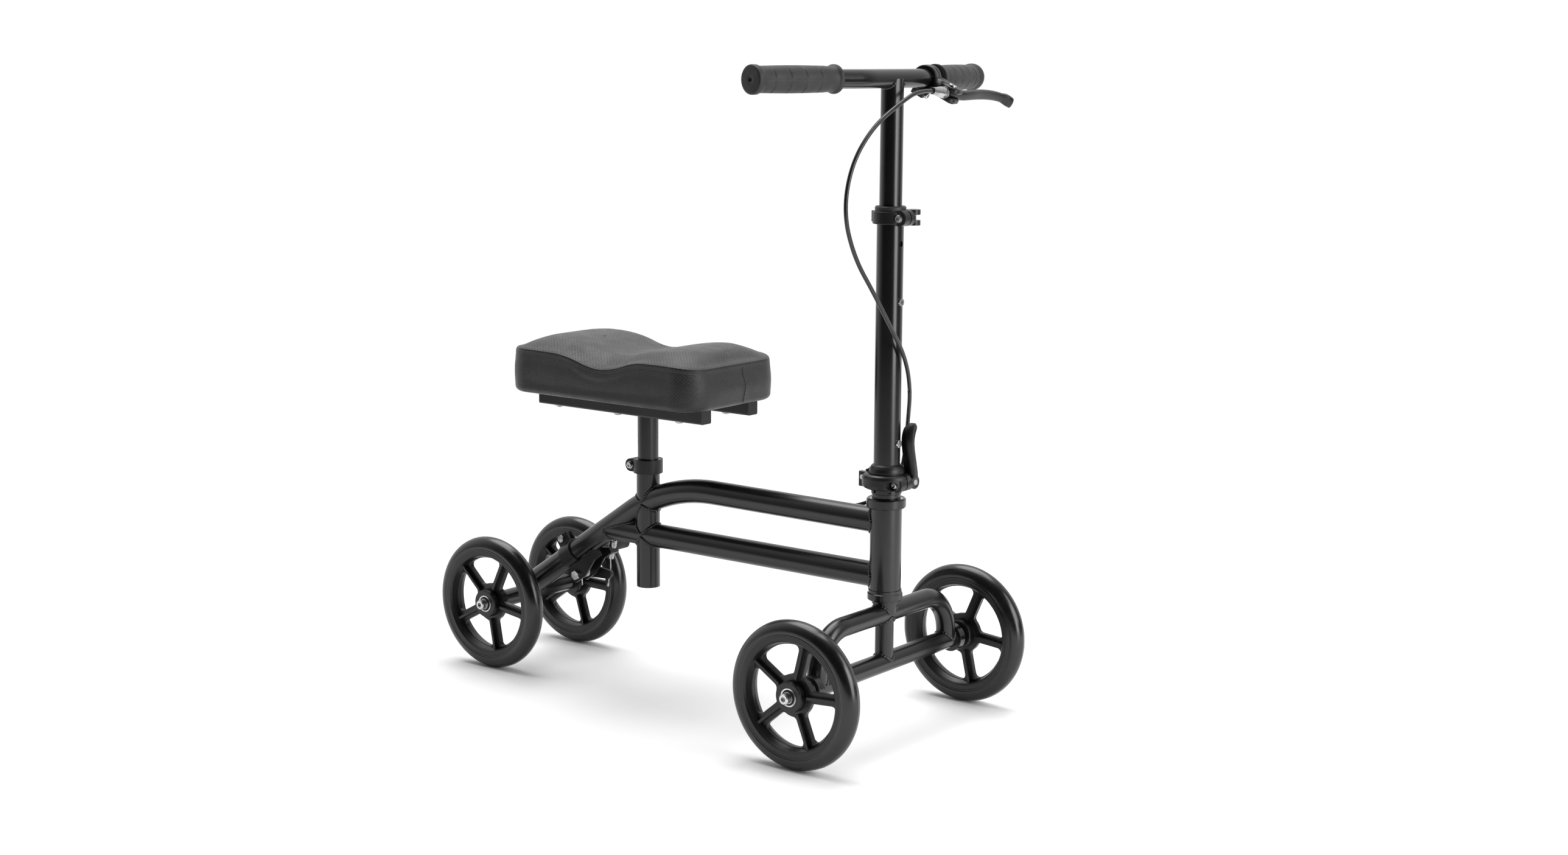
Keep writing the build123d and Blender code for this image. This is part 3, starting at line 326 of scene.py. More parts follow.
# ---- mesh building
def new_piece(name, vertices, faces, slot, material=None):
    """A linked object with a clean, smooth-shaded mesh in the slot's material."""
    mesh = bpy.data.meshes.new(name)
    mesh.from_pydata([tuple(v) for v in vertices], [], [tuple(f) for f in faces])
    cleaner = bmesh.new()
    cleaner.from_mesh(mesh)
    bmesh.ops.remove_doubles(cleaner, verts=cleaner.verts, dist=1e-7)
    bmesh.ops.recalc_face_normals(cleaner, faces=cleaner.faces)
    cleaner.to_mesh(mesh)
    cleaner.free()
    mesh.polygons.foreach_set("use_smooth", [True] * len(mesh.polygons))
    mesh.materials.append(material or SLOT_MATERIALS[slot])
    piece = add_object(name, mesh)
    return piece


def grid_faces(rows, columns, closed_rows=False):
    """Quads between closed rows of points; with closed_rows the last row joins the first."""
    faces = []
    for r in range(rows if closed_rows else rows - 1):
        below, above = r * columns, ((r + 1) % rows) * columns
        for c in range(columns):
            d = (c + 1) % columns
            faces.append((below + c, below + d, above + d, above + c))
    return faces


def end_caps(rows, sides):
    """The two faces that close a grid of rows at its ends."""
    return [tuple(range(sides))[::-1], tuple((rows - 1) * sides + k for k in range(sides))]


def unit(vectors):
    """One vector, or each of several, at length one."""
    return vectors / np.linalg.norm(vectors, axis=-1, keepdims=True)


def circle(count):
    """Cosine and sine of evenly spaced angles round a full turn."""
    angles = (2 * math.pi * k / count for k in range(count))
    return [(math.cos(a), math.sin(a)) for a in angles]


def travel(points):
    """The distance along a line of points up to each of them."""
    return np.concatenate([[0], np.cumsum(np.linalg.norm(np.diff(points, axis=0), axis=1))])


def frame_along(points, closed):
    """Two directions across a line at each of its points, turning as little as possible along it."""
    points = np.asarray(points, float)
    steps = np.roll(points, -1, 0) - np.roll(points, 1, 0) if closed else np.gradient(points, axis=0)
    tangents = unit(steps)
    normal = np.cross(tangents[0], (0.3, 0.5, 0.8))
    normals = []
    for tangent in tangents:
        normal = unit(normal - tangent * (normal @ tangent))
        normals.append(normal)
    normals = np.array(normals)
    if closed:
        last = unit(normals[-1] - tangents[0] * (normals[-1] @ tangents[0]))
        side = np.cross(tangents[0], normals[0])
        twist = math.atan2(last @ side, last @ normals[0])
        angles = -twist * np.arange(len(points)) / (len(points) - 1)
        sides = np.cross(tangents, normals)
        normals = normals * np.cos(angles)[:, None] + sides * np.sin(angles)[:, None]
    return normals, np.cross(tangents, normals)


def tube_mesh(points, radius, sides, closed=False):
    """Vertices and faces of a tube along points; radius is a number or a function of the index."""
    normals, sideways = frame_along(points, closed)
    vertices = []
    for i, (point, n, w) in enumerate(zip(points, normals, sideways)):
        r = radius(i) if callable(radius) else radius
        vertices += [np.asarray(point) + r * (c * n + s * w) for c, s in circle(sides)]
    rows = len(points)
    return vertices, grid_faces(rows, sides, closed) + ([] if closed else end_caps(rows, sides))


class Bundle:
    """Several shells gathered into one mesh."""

    def __init__(self):
        self.vertices, self.faces = [], []

    def add(self, vertices, faces):
        start = len(self.vertices)
        self.vertices += [tuple(v) for v in vertices]
        self.faces += [tuple(start + i for i in f) for f in faces]

    def piece(self, name, slot, body, material=None):
        made = new_piece(name, self.vertices, self.faces, slot, material)
        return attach(made, body)


def lathe(outline, sides, place, radius_at=None, closed=False):
    """Turn (height, radius) pairs about local Z, then place them; radius_at may change a radius."""
    vertices = []
    for height, radius in outline:
        for k in range(sides):
            a = 2 * math.pi * k / sides
            r = radius_at(height, a, radius) if radius_at else radius
            vertices.append(place @ Vector((r * math.cos(a), r * math.sin(a), height)))
    return vertices, grid_faces(len(outline), sides, closed)


def frame_matrix(origin, z_axis, x_hint=(0, 0, 1)):
    """A placement whose Z follows z_axis and whose X leans to x_hint."""
    z = Vector(z_axis).normalized()
    x = Vector(x_hint) - z * z.dot(Vector(x_hint))
    x.normalize()
    return placement(origin, x, z.cross(x), z)


def middle(node):
    low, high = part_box(node)
    return (low + high) / 2


def mm(*rows):
    """Rows of millimetres as rows of metres."""
    return [tuple(value / 1000 for value in row) for row in rows]


# ---- the knee pad
PAD_LOW, PAD_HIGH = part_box("knee_pad")
PAD_CENTRE = (PAD_LOW + PAD_HIGH) / 2
HALF_LENGTH = (PAD_HIGH.x - PAD_LOW.x) / 2
HALF_WIDTH = (PAD_HIGH.y - PAD_LOW.y) / 2
CORNER_RADIUS, CORNER_STEPS = 0.036, 14
BAND_SEAMS = ((HALF_LENGTH, 0.012), (-HALF_LENGTH, -0.062))   # vertical seams of the side band


def smooth_table(table):
    """A smooth curve through (x, height) pairs, as a function."""
    xs, ys = np.array(table, float).T
    slopes = np.gradient(ys, xs)

    def at(x):
        x = min(max(x, xs[0]), xs[-1])
        i = min(int(np.searchsorted(xs, x, side="right")) - 1, len(xs) - 2)
        h = xs[i + 1] - xs[i]
        t = (x - xs[i]) / h
        a, b = slopes[i] * h, slopes[i + 1] * h
        return ((2 * t ** 3 - 3 * t ** 2 + 1) * ys[i] + (t ** 3 - 2 * t ** 2 + t) * a
                + (3 * t ** 2 - 2 * t ** 3) * ys[i + 1] + (t ** 3 - t ** 2) * b)
    return at


# Heights above the pad's underside: of the top seam, and of the crown along the middle.
seam_height = smooth_table(mm(
    (-260, 54.5), (-226, 55.5), (-192, 55.2), (-162, 54), (-139, 50), (-118, 44), (-104, 41.2), (-93, 40.4),
    (-82, 41.2), (-60, 45.5), (-46, 50), (-32, 53.2), (-3, 54.5), (30, 53.8), (62, 50.5),
))
crown_height = smooth_table(mm(
    (-260, 60), (-240, 65.5), (-205, 67.8), (-170, 66.5), (-140, 61.8), (-112, 55.6), (-90, 53), (-68, 55),
    (-40, 61.2), (-10, 65.2), (20, 65.2), (45, 62.2), (62, 57.5),
))


def straight(a, b):
    """Points from a up to b, closer together at a seam of the band."""
    reach = np.linalg.norm(b - a)
    count = max(2, int(reach / 0.004))
    shares = list(np.arange(count) / count)
    for seam in BAND_SEAMS:
        share = (seam - a) @ (b - a) / reach ** 2
        if 0 < share < 1 and np.linalg.norm(a + share * (b - a) - seam) < 1e-4:
            shares += [share + d / reach for d in np.arange(-0.0035, 0.0036, 0.0005)]
    return [a + t * (b - a) for t in sorted(shares)]


def pad_outline():
    """Points round the plan of the pad, centred on it."""
    arcs = []
    for quarter, (x, y) in enumerate(((1, 1), (-1, 1), (-1, -1), (1, -1))):
        centre = np.array((x * (HALF_LENGTH - CORNER_RADIUS), y * (HALF_WIDTH - CORNER_RADIUS)))
        angles = (math.pi / 2 * (quarter + k / CORNER_STEPS) for k in range(CORNER_STEPS + 1))
        arcs.append([centre + CORNER_RADIUS * np.array((math.cos(a), math.sin(a))) for a in angles])
    points = []
    for before, arc in zip([arcs[-1], *arcs], arcs):
        points += straight(before[-1], arc[0]) + arc[:-1]
    return np.array(points)


def gather(point, share):
    """A plan point drawn in towards the pad's long axis: share 1 leaves it, 0 puts it there."""
    reach = HALF_LENGTH - HALF_WIDTH
    spine = np.array((min(max(point[0], -reach), reach) * 0.92, 0.0))
    return spine + (point - spine) * share


SHELF = 0.0035        # underside's recess above the pad's lowest edge
EDGE_RADIUS, EDGE_ROWS = 0.0072, 6
BAND_FOOT = 0.0064    # where the band starts above the rounded lower edge
BAND_ROWS, TOP_ROWS = 14, 26
CROWN_START = 0.0023  # the top panel's rim above the seam
# Inset and height of each row over the seam; the fourth lies in the seam's channel.
SEAM_ROWS = mm((1.1, -2.2), (1.0, -1.4), (1.2, -0.7), (2.6, 0.0), (1.8, 0.9), (2.4, 1.6), (3.4, 2.3))
CHANNEL_ROW, UNGROOVED_INSET = 3, 0.0014


def pad_grid(groove):
    """Rows of points: underside's middle, round the band, over the seam, to the top's middle."""
    plan = pad_outline()
    along = np.roll(plan, -1, 0) - np.roll(plan, 1, 0)
    inwards = unit(np.stack((-along[:, 1], along[:, 0]), axis=1))
    rows = []

    def ring(inset, height, share=1.0):
        made = []
        for p, n in zip(plan, inwards):
            q = gather(p + n * inset, share) if share < 1.0 else p + n * inset
            x = PAD_CENTRE.x + q[0]
            z = height(x) if callable(height) else height
            made.append((x, PAD_CENTRE.y + q[1], PAD_LOW.z + z))
        rows.append(made)

    for share in (0.02, 0.3, 0.6, 0.9, 1.0):
        ring(0.016, SHELF, share)
    for inset, height in ((0.0125, SHELF), (0.0118, -0.0006), (0.009, -0.0008)):
        ring(inset, height)
    for k in range(EDGE_ROWS):
        a = math.pi / 2 * k / (EDGE_ROWS - 1)
        ring(EDGE_RADIUS - EDGE_RADIUS * math.sin(a), BAND_FOOT - 0.007 * math.cos(a))
    bottom_rows = len(rows)
    for k in range(1, BAND_ROWS + 1):
        t = k / (BAND_ROWS + 1)
        bulge = -0.0016 * math.sin(math.pi * t) + 0.0012 * t ** 3
        ring(bulge, lambda x, t=t: BAND_FOOT + t * (seam_height(x) - 0.0012 - BAND_FOOT))
    seam_start = len(rows)
    for number, (inset, rise) in enumerate(SEAM_ROWS):
        if number == CHANNEL_ROW and not groove:
            inset = UNGROOVED_INSET
        ring(inset, lambda x, rise=rise: seam_height(x) + rise)
    for k in range(1, TOP_ROWS + 1):
        t = k / TOP_ROWS
        lift = 1 - (1 - min(1.0, t / 0.62)) ** 2.4

        def crown(x, lift=lift):
            return (seam_height(x) + CROWN_START) * (1 - lift) + crown_height(x) * lift
        ring(SEAM_ROWS[-1][0], crown, 1 - t)
    return np.array(rows), bottom_rows, seam_start


def apply_modifiers(piece):
    graph = bpy.context.evaluated_depsgraph_get()
    mesh = bpy.data.meshes.new_from_object(piece.evaluated_get(graph))
    piece.modifiers.clear()
    piece.data = mesh


PINNED_HEIGHT, CLOTH_FRAMES, LONGEST_MOVE = 0.012, 20, 0.006


def swollen_copy(rows):
    """The pad as a closed skin, remeshed and blown up by a cloth simulation."""
    count, around = rows.shape[:2]
    mesh = bpy.data.meshes.new("pad_skin")
    mesh.from_pydata([tuple(p) for p in rows.reshape(-1, 3)], [], grid_faces(count, around))
    skin = add_object("pad_skin", mesh)
    remesh = skin.modifiers.new("remesh", "REMESH")
    remesh.mode = "VOXEL"
    remesh.voxel_size = 0.005
    apply_modifiers(skin)
    start = np.array([v.co for v in skin.data.vertices])
    pinned = skin.vertex_groups.new(name="pinned")
    pinned.add([i for i, p in enumerate(start) if p[2] < PAD_LOW.z + PINNED_HEIGHT], 1.0, "REPLACE")
    settings = skin.modifiers.new("cloth", "CLOTH").settings
    settings.vertex_group_mass = "pinned"
    settings.use_pressure, settings.uniform_pressure_force = True, 4.0
    settings.tension_stiffness, settings.bending_stiffness = 25, 2.0
    settings.effector_weights.gravity = 0.0
    settings.quality = 6
    for number in range(1, CLOTH_FRAMES + 1):
        bpy.context.scene.frame_set(number)
    apply_modifiers(skin)
    bpy.context.scene.frame_set(1)
    move = np.array([v.co for v in skin.data.vertices]) - start
    size = np.linalg.norm(move, axis=1)
    move *= np.where(size > LONGEST_MOVE, LONGEST_MOVE / np.maximum(size, 1e-9), 1.0)[:, None]
    skin.data.vertices.foreach_set("co", (start + move).ravel())
    skin.data.update()
    tree = BVHTree.FromObject(skin, bpy.context.evaluated_depsgraph_get())
    bpy.data.objects.remove(skin)
    return tree


def grid_normals(rows):
    down = np.gradient(rows, axis=0)
    around = np.roll(rows, -1, 1) - np.roll(rows, 1, 1)
    normals = np.cross(around, down)
    return normals / np.maximum(np.linalg.norm(normals, axis=2), 1e-12)[:, :, None]


def swell(rows, normals, first_row, seam_row):
    """Lift the rows to the blown-up skin, smoothed, and held down at the seam."""
    smooth_rows = pad_grid(False)[0]
    tree = swollen_copy(smooth_rows)
    lift = np.zeros(rows.shape[:2])
    for r in range(first_row, len(rows) - 1):
        for c in range(rows.shape[1]):
            spot, direction = Vector(smooth_rows[r, c]), Vector(normals[r, c])
            hit = tree.ray_cast(spot - direction * 0.006, direction, 0.014)[0]
            if hit is not None:
                lift[r, c] = (hit - spot).dot(direction)
    lift[-1] = lift[-2].mean()
    for _ in range(6):
        lift = (lift + np.roll(lift, 1, 1) + np.roll(lift, -1, 1)) / 3
        lift[1:-1] = (lift[:-2] + lift[1:-1] + lift[2:]) / 3
    away = abs(np.arange(len(rows)) - seam_row)
    hold = np.clip((away - 2) / 5, 0.12, 1.0)
    hold[:first_row] = 0.0
    return rows + normals * (np.clip(lift, -0.002, 0.0045) * hold[:, None])[:, :, None]


def make_pad():
    rows, bottom_rows, seam_start = pad_grid(True)
    normals = grid_normals(rows)
    rows = swell(rows, normals, bottom_rows, seam_start + CHANNEL_ROW)
    return press_band_seams(rows, normals, bottom_rows - 2, seam_start), seam_start


def hump(distance, width):
    """1 at no distance, falling off smoothly within about twice the width."""
    return math.exp(-(distance / width) ** 2)


def press_band_seams(rows, normals, low_row, high_row):
    """Draw the side band in along its two vertical seams, swelling slightly either side."""
    rows = rows.copy()
    for seam_x, seam_y in BAND_SEAMS:
        x, y = PAD_CENTRE.x + seam_x, PAD_CENTRE.y + seam_y
        for r in range(low_row, high_row):
            for c, p in enumerate(rows[r]):
                away = abs(p[1] - y)
                if abs(p[0] - x) < 0.012 and away < 0.0045:
                    depth = 0.0011 * hump(away, 0.0007) - 0.0004 * hump(away - 0.0016, 0.0009)
                    rows[r, c] = p - normals[r, c] * depth
    return rows


STITCH_LENGTH, STITCH_GAP, THREAD_RADIUS = 0.0027, 0.001, 0.00033


def capsule(start, end, up):
    """One stitch: a thread that rises from the leather and dives back into it."""
    arch = up * THREAD_RADIUS * 0.9
    shares, taper = (0.0, 0.12, 0.35, 0.65, 0.88, 1.0), (0.45, 0.9, 1.0, 1.0, 0.9, 0.45)
    points = [start + (end - start) * t + arch * math.sin(math.pi * t) for t in shares]
    return tube_mesh(points, lambda i: THREAD_RADIUS * taper[i], 7)


def stitch_row(bundle, line, ups):
    """Stitches at even spacing along a closed line on the surface."""
    line, ups = (np.vstack([table, table[:1]]) for table in (line, ups))
    reach = travel(line)
    total = reach[-1]
    count = int(total / (STITCH_LENGTH + STITCH_GAP))

    def at(s, table):
        return np.array([np.interp(s % total, reach, table[:, k]) for k in range(3)])
    for i in range(count):
        a = i * total / count
        b = a + STITCH_LENGTH
        up = at((a + b) / 2, ups)
        sunk = up * THREAD_RADIUS * 0.6
        bundle.add(*capsule(at(a, line) - sunk, at(b, line) - sunk, up))


def build_pad():
    rows, seam_start = make_pad()
    count, around = rows.shape[:2]
    faces = grid_faces(count, around) + end_caps(count, around)[:1]
    pad = new_piece("knee_cushion", rows.reshape(-1, 3), faces, "pad_leatherette")
    pad.data.materials.append(TOP_LEATHER)
    for polygon in pad.data.polygons:
        over_seam = polygon.center.z - PAD_LOW.z - seam_height(polygon.center.x)
        if over_seam > 0.0004 and polygon.normal.z > 0.02 or over_seam > 0.002:
            polygon.material_index = 1
    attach(pad, "knee_rest")
    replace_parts(pad, "knee_pad")

    normals = grid_normals(rows)
    thread = Bundle()
    rim = seam_start + len(SEAM_ROWS) - 1
    stitch_row(thread, rows[rim] * 0.55 + rows[rim + 1] * 0.45, normals[rim])
    stitch_row(thread, rows[seam_start - 1] * 0.75 + rows[seam_start] * 0.25, normals[seam_start - 1])
    thread.piece("pad_stitching", "pad_leatherette", "knee_rest", THREAD)


build_pad()


# ---- brake cable
CABLE_RADIUS = 0.0025
CABLE_ROUTE = mm(
    (319.48, 50.65, 776.88), (320.33, 13.02, 780.38), (322, -34, 764), (321, -86, 738), (318, -122, 697),
    (317, -134, 644), (317, -112, 592), (317, -72, 548), (316, -36, 506), (312, 2, 466), (304, 26, 424),
    (295, 35, 384), (290, 38, 345), (284, 37, 315), (268, 32, 292), (240, 24, 275), (196, 21.5, 264),
    (130, 21, 261), (64, 20.5, 262), (2, 20.5, 258), (-52, 20.5, 248), (-92, 21.5, 227), (-124, 22, 203),
    (-165.13, 20, 181.47), (-169.4, 20, 161.11),
)


def smooth_line(points, steps=10):
    """Points along the smooth NURBS spline that has these control points."""
    curve = bpy.data.curves.new("line", "CURVE")
    curve.dimensions = "3D"
    curve.resolution_u = steps
    spline = curve.splines.new("NURBS")
    spline.points.add(len(points) - 1)
    for control, point in zip(spline.points, points):
        control.co = (*point, 1)
    spline.order_u = 3
    spline.use_endpoint_u = True
    holder = bpy.data.objects.new("line", curve)
    mesh = bpy.data.meshes.new_from_object(holder)
    line = np.array([v.co for v in mesh.vertices])
    bpy.data.objects.remove(holder)
    bpy.data.meshes.remove(mesh)
    return line


def build_cable():
    line = smooth_line(CABLE_ROUTE)
    below = [int(np.argmax(line[:, 2] < z)) for z in (0.424, 0.313)]
    behind = int(np.argmax(line[:, 0] < 0.13))
    cuts = [0, *below, behind, len(line) - 1]
    pieces = []
    for number, (a, b) in enumerate(zip(cuts, cuts[1:]), 1):
        tube = tube_mesh(line[a:b + 1], CABLE_RADIUS, 14)
        pieces.append(new_piece(f"cable_sheath_{number}", *tube, "cable_sheath"))
    upper, fold, turn, rear = pieces
    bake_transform(upper)
    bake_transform(fold)
    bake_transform(turn)
    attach(rear, "frame")
    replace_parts(upper, "brake_cable")
    return line


# ---- weld beads
FRONT_X = middle("head_tube").x
SEAT_X = middle("seat_tube").x
REAR_X, AXLE_Z = middle("rear_axle_tube").x, middle("rear_axle_tube").z
LOWER_Z = middle("lower_tube").z
FORK_R, FRAME_R, HEAD_R = 0.0122, 0.0155, 0.0192   # tubes' outer radii
ARCH_LINE_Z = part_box("fork_arch")[1].z - FORK_R
TOP_TUBE_Z, BEND_RADIUS = 0.264, 0.24
WELD_SIDES, WELD_MARCH, WELD_SHORTEST, BEAD_RADIUS = 72, 0.001, 7, 0.0021


def round_wall(point, direction, radius):
    """Distance from a straight round tube's surface."""
    direction = unit(np.array(direction, float))

    def at(p):
        away = p - point
        return np.linalg.norm(away - direction * (away @ direction)) - radius
    return at


def bent_wall(path, radius):
    """Distance from the surface of a round tube along a bent path."""
    path = np.array(path, float)
    a, d = path[:-1], np.diff(path, axis=0)
    length = (d * d).sum(1)

    def at(p):
        t = np.clip(((p - a) * d).sum(1) / length, 0, 1)
        return np.linalg.norm(p - a - d * t[:, None], axis=1).min() - radius
    return at


def top_tube_line():
    """The top tube's centre line: level, then bent down to the rear axle."""
    start, corner = np.array((FRONT_X, 0, TOP_TUBE_Z)), np.array((-0.053, 0, 0.266))
    tail_x = REAR_X + 0.003
    tail = np.array((tail_x, 0, corner[2] - (corner[0] - tail_x) * math.tan(math.radians(34.4))))
    before, after = unit(corner - start), unit(tail - corner)
    bend = math.acos(before @ after)
    centre = corner + unit(after - before) * BEND_RADIUS / math.cos(bend / 2)
    first = corner - before * BEND_RADIUS * math.tan(bend / 2) - centre
    turned = np.cross(unit(np.cross(before, after)), first)
    arc = [centre + first * math.cos(a) + turned * math.sin(a) for a in np.linspace(0, bend, 24)]
    return [start, *arc, tail]


def height_of(line, x):
    """The height at x of a line that runs towards -X."""
    return np.interp(-x, [-p[0] for p in line], [p[2] for p in line])


def spread(points, step):
    """The same line with evenly spaced points."""
    points = np.asarray(points)
    reach = travel(points)
    wanted = np.linspace(0, reach[-1], max(4, int(reach[-1] / step) + 1))
    return np.array([[np.interp(w, reach, points[:, k]) for k in range(3)] for w in wanted])


def ripple(i, period):
    return 1 + 0.13 * math.sin(2 * math.pi * i / period)


def first_hit(rim, axis, wall, reach):
    """Where a line that comes in from rim + axis * reach meets the wall, or None."""
    last = wall(rim + axis * reach)
    for t in np.arange(reach - WELD_MARCH, -2 * WELD_MARCH, -WELD_MARCH):
        value = wall(rim + axis * t)
        if last > 0 >= value:
            return rim + axis * (t + WELD_MARCH * value / (value - last))
        last = value
    return None


def weld(bundle, centre, axis, radius, wall, reach=0.04):
    """A rippled bead where a tube coming in along axis first meets a wall."""
    centre, axis = np.array(centre, float), np.array(axis, float)
    across = unit(np.cross(axis, (0.31, 0.62, 0.72)))
    sideways = np.cross(axis, across)
    rims = [centre + radius * (c * across + s * sideways) for c, s in circle(WELD_SIDES)]
    found = [first_hit(rim, axis, wall, reach) for rim in rims]
    missed = [i for i, hit in enumerate(found) if hit is None]
    closed = not missed
    if closed:
        runs = [found + found[:1]]
    else:
        turned = found[missed[0]:] + found[:missed[0]]
        runs = [list(run) for is_hit, run in groupby(turned, lambda hit: hit is not None) if is_hit]
    for run in runs:
        if len(run) < WELD_SHORTEST:
            continue
        line = spread(run, 0.0007)[:-1 if closed else None]

        def bead_radius(i, last=len(line) - 1):
            ends = 1.0 if closed else min(1.0, 0.35 + min(i, last - i) / 8)
            return BEAD_RADIUS * ripple(i, 4.6) * ends
        bundle.add(*tube_mesh(line, bead_radius, 8, closed))


def build_welds():
    up, down, back, left, right = (0, 0, 1), (0, 0, -1), (-1, 0, 0), (0, 1, 0), (0, -1, 0)
    top = top_tube_line()
    top_wall = bent_wall(top, FRAME_R)
    head = round_wall((FRONT_X, 0, 0), up, HEAD_R)
    lower = round_wall((0, 0, LOWER_Z), (1, 0, 0), FRAME_R)
    seat_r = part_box("seat_tube")[1].y
    axle_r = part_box("rear_axle_tube")[1].z - AXLE_Z
    on_frame = Bundle()
    for z in (TOP_TUBE_Z, LOWER_Z):
        weld(on_frame, (FRONT_X, 0, z), back, FRAME_R, head)
    for side in (up, down):
        weld(on_frame, (SEAT_X, 0, height_of(top, SEAT_X)), side, seat_r, top_wall, 0.05)
        weld(on_frame, (SEAT_X, 0, LOWER_Z), side, seat_r, lower)
    weld(on_frame, (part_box("lower_tube")[0].x - 0.01, 0, LOWER_Z), (1, 0, 0), FRAME_R, top_wall, 0.075)
    for side in (left, right):
        weld(on_frame, (REAR_X, 0, AXLE_Z), side, axle_r, top_wall)
    on_frame.piece("frame_welds", "frame_paint", "frame")

    arch = round_wall((FRONT_X, 0, ARCH_LINE_Z), left, FORK_R)
    cross = round_wall((FRONT_X, 0, AXLE_Z), left, FORK_R)
    on_fork = Bundle()
    weld(on_fork, (FRONT_X, 0, ARCH_LINE_Z), up, 0.0143, arch)
    weld(on_fork, (FRONT_X, 0, ARCH_LINE_Z), down, 0.0114, arch)
    weld(on_fork, (FRONT_X, 0, AXLE_Z), up, 0.0114, cross)
    leg_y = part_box("fork_arch")[1].y - FORK_R
    for side in (-1, 1):
        weld(on_fork, (FRONT_X, side * leg_y, AXLE_Z), up, FORK_R - 0.0001, cross)
    on_fork.piece("fork_welds", "frame_paint", "fork")

    bar_z = middle("handlebar").z
    on_stem = Bundle()
    weld(on_stem, (FRONT_X, 0, bar_z), down, 0.0135, round_wall((FRONT_X, 0, bar_z), left, 0.0111))
    on_stem.piece("stem_weld", "frame_paint", "stem")

    ring_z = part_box("pad_rails")[0].z + 0.0035
    ring = [(SEAT_X + 0.0138 * c, 0.0138 * s, ring_z) for c, s in circle(90)]
    bead = tube_mesh(ring, lambda i: 0.0019 * ripple(i, 5), 8, closed=True)
    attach(new_piece("seat_post_weld", *bead, "frame_paint"), "knee_rest")


# ---- grips
GRIP_LENGTH, GRIP_OVERHANG = 0.127, 0.0042
BAR_END = Vector((FRONT_X - 0.033, 0.222, middle("handlebar").z))
BAR_SWEEP = math.atan2(0.033, 0.164)
RING_GROOVES = (0.032, 0.055, 0.078, 0.101)


def grip_radius(height, angle, radius):
    """The barrel's moulded grooves: bowed rings that stop short of four lengthwise lines."""
    if not 0.019 < height < 0.1135:
        return radius
    phase = (angle / (math.pi / 2)) % 1.0
    to_line = min(phase, 1 - phase) * math.pi / 2 * radius
    bow = 0.0016 * math.sin(math.pi * phase)
    depth = 0.00045 * hump(to_line, 0.0005)
    if to_line > 0.0014:
        nearest = min(abs(height - ring - bow) for ring in RING_GROOVES)
        depth += 0.00085 * hump(nearest, 0.0008) * min(1.0, (to_line - 0.0014) / 0.0012)
    return radius - depth


def build_grips():
    shape = mm((0, 11.2), (0, 15.8), (0.4, 16.4), (1.2, 16.7), (4, 16.7), (4.8, 16.3), (6, 15.2), (8, 14.7),
               (17, 14.6), (19, 15))
    for height in np.arange(0.0195, 0.1135, 0.00065):
        swell = math.sin(math.pi * (height - 0.0195) / 0.094)
        shape.append((height, 0.015 + 0.0006 * swell))
    shape += mm((114.5, 14.9), (116.5, 15.1), (118.5, 16.1), (120, 16.6), (124.5, 16.7), (126, 16.4),
                (126.8, 15.6), (127, 14), (127, 6), (127, 2.9), (126.7, 2.5), (125.2, 2.5), (125.2, 0.2))
    for side, name in ((1, "left_grip"), (-1, "right_grip")):
        along = Vector((-math.sin(BAR_SWEEP), side * math.cos(BAR_SWEEP), 0))
        end = Vector((BAR_END.x, side * BAR_END.y, BAR_END.z))
        place = frame_matrix(end - along * (GRIP_LENGTH - GRIP_OVERHANG), along)
        grip = new_piece(f"{name}_rubber", *lathe(shape, 128, place, grip_radius), "grip_rubber")
        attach(grip, "stem")
        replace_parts(grip, name)


# ---- brake lever
PERCH_AT = Vector((0.284976, 0.078, 0.792))
PERCH_TILT = math.radians(28)
# Middle of the lever in the perch's frame, from its tongue to its bulb.
LEVER_LINE = mm((36, -11, 0), (36.5, -4, 0), (40, 4, 0), (44.5, 16, 0.5), (47, 38, 2.5), (47.5, 62, 3),
                (49, 88, 3), (53, 112, 2.5), (59, 130, 1), (65, 139, -1))


def perch_matrix():
    """The brake lever's own frame: x ahead of the bar, y outwards along it, z across the lever."""
    x = Vector((math.cos(BAR_SWEEP) * math.cos(PERCH_TILT), math.sin(BAR_SWEEP) * math.cos(PERCH_TILT),
                -math.sin(PERCH_TILT)))
    y = Vector((-math.sin(BAR_SWEEP), math.cos(BAR_SWEEP), 0))
    return placement(PERCH_AT, x, y, x.cross(y))


def build_lever():
    """A smooth cast blade that thins from its tongue and ends in a rounded bulb."""
    line = smooth_line(LEVER_LINE, 12)
    tangents = unit(np.gradient(line, axis=0))
    reach = travel(line)
    share = reach / reach[-1]
    half_height = np.interp(share, (0, 0.1, 0.16, 0.5, 0.86, 0.93, 0.98, 1.0),
                            (3.1, 3.3, 5.8, 6.2, 5.6, 7.0, 6.8, 3.6)) / 1000
    half_depth = np.interp(share, (0, 0.05, 0.16, 0.5, 0.86, 0.93, 0.98, 1.0),
                           (4.0, 6.8, 4.4, 3.4, 3.4, 6.0, 5.8, 2.8)) / 1000
    place = perch_matrix()
    section = [[math.copysign(abs(v) ** 0.55, v) for v in spot] for spot in circle(28)]
    vertices = []
    for point, tangent, high, deep in zip(line, tangents, half_height, half_depth):
        across, up = deep * np.array((-tangent[1], tangent[0], 0)), high * np.array((0, 0, 1))
        vertices += [place @ Vector(point + across * c + up * s) for c, s in section]
    faces = grid_faces(len(line), len(section)) + end_caps(len(line), len(section))
    lever = new_piece("brake_lever_blade", vertices, faces, "cast_black")
    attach(lever, "brake_lever")
    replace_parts(lever, "brake_lever")


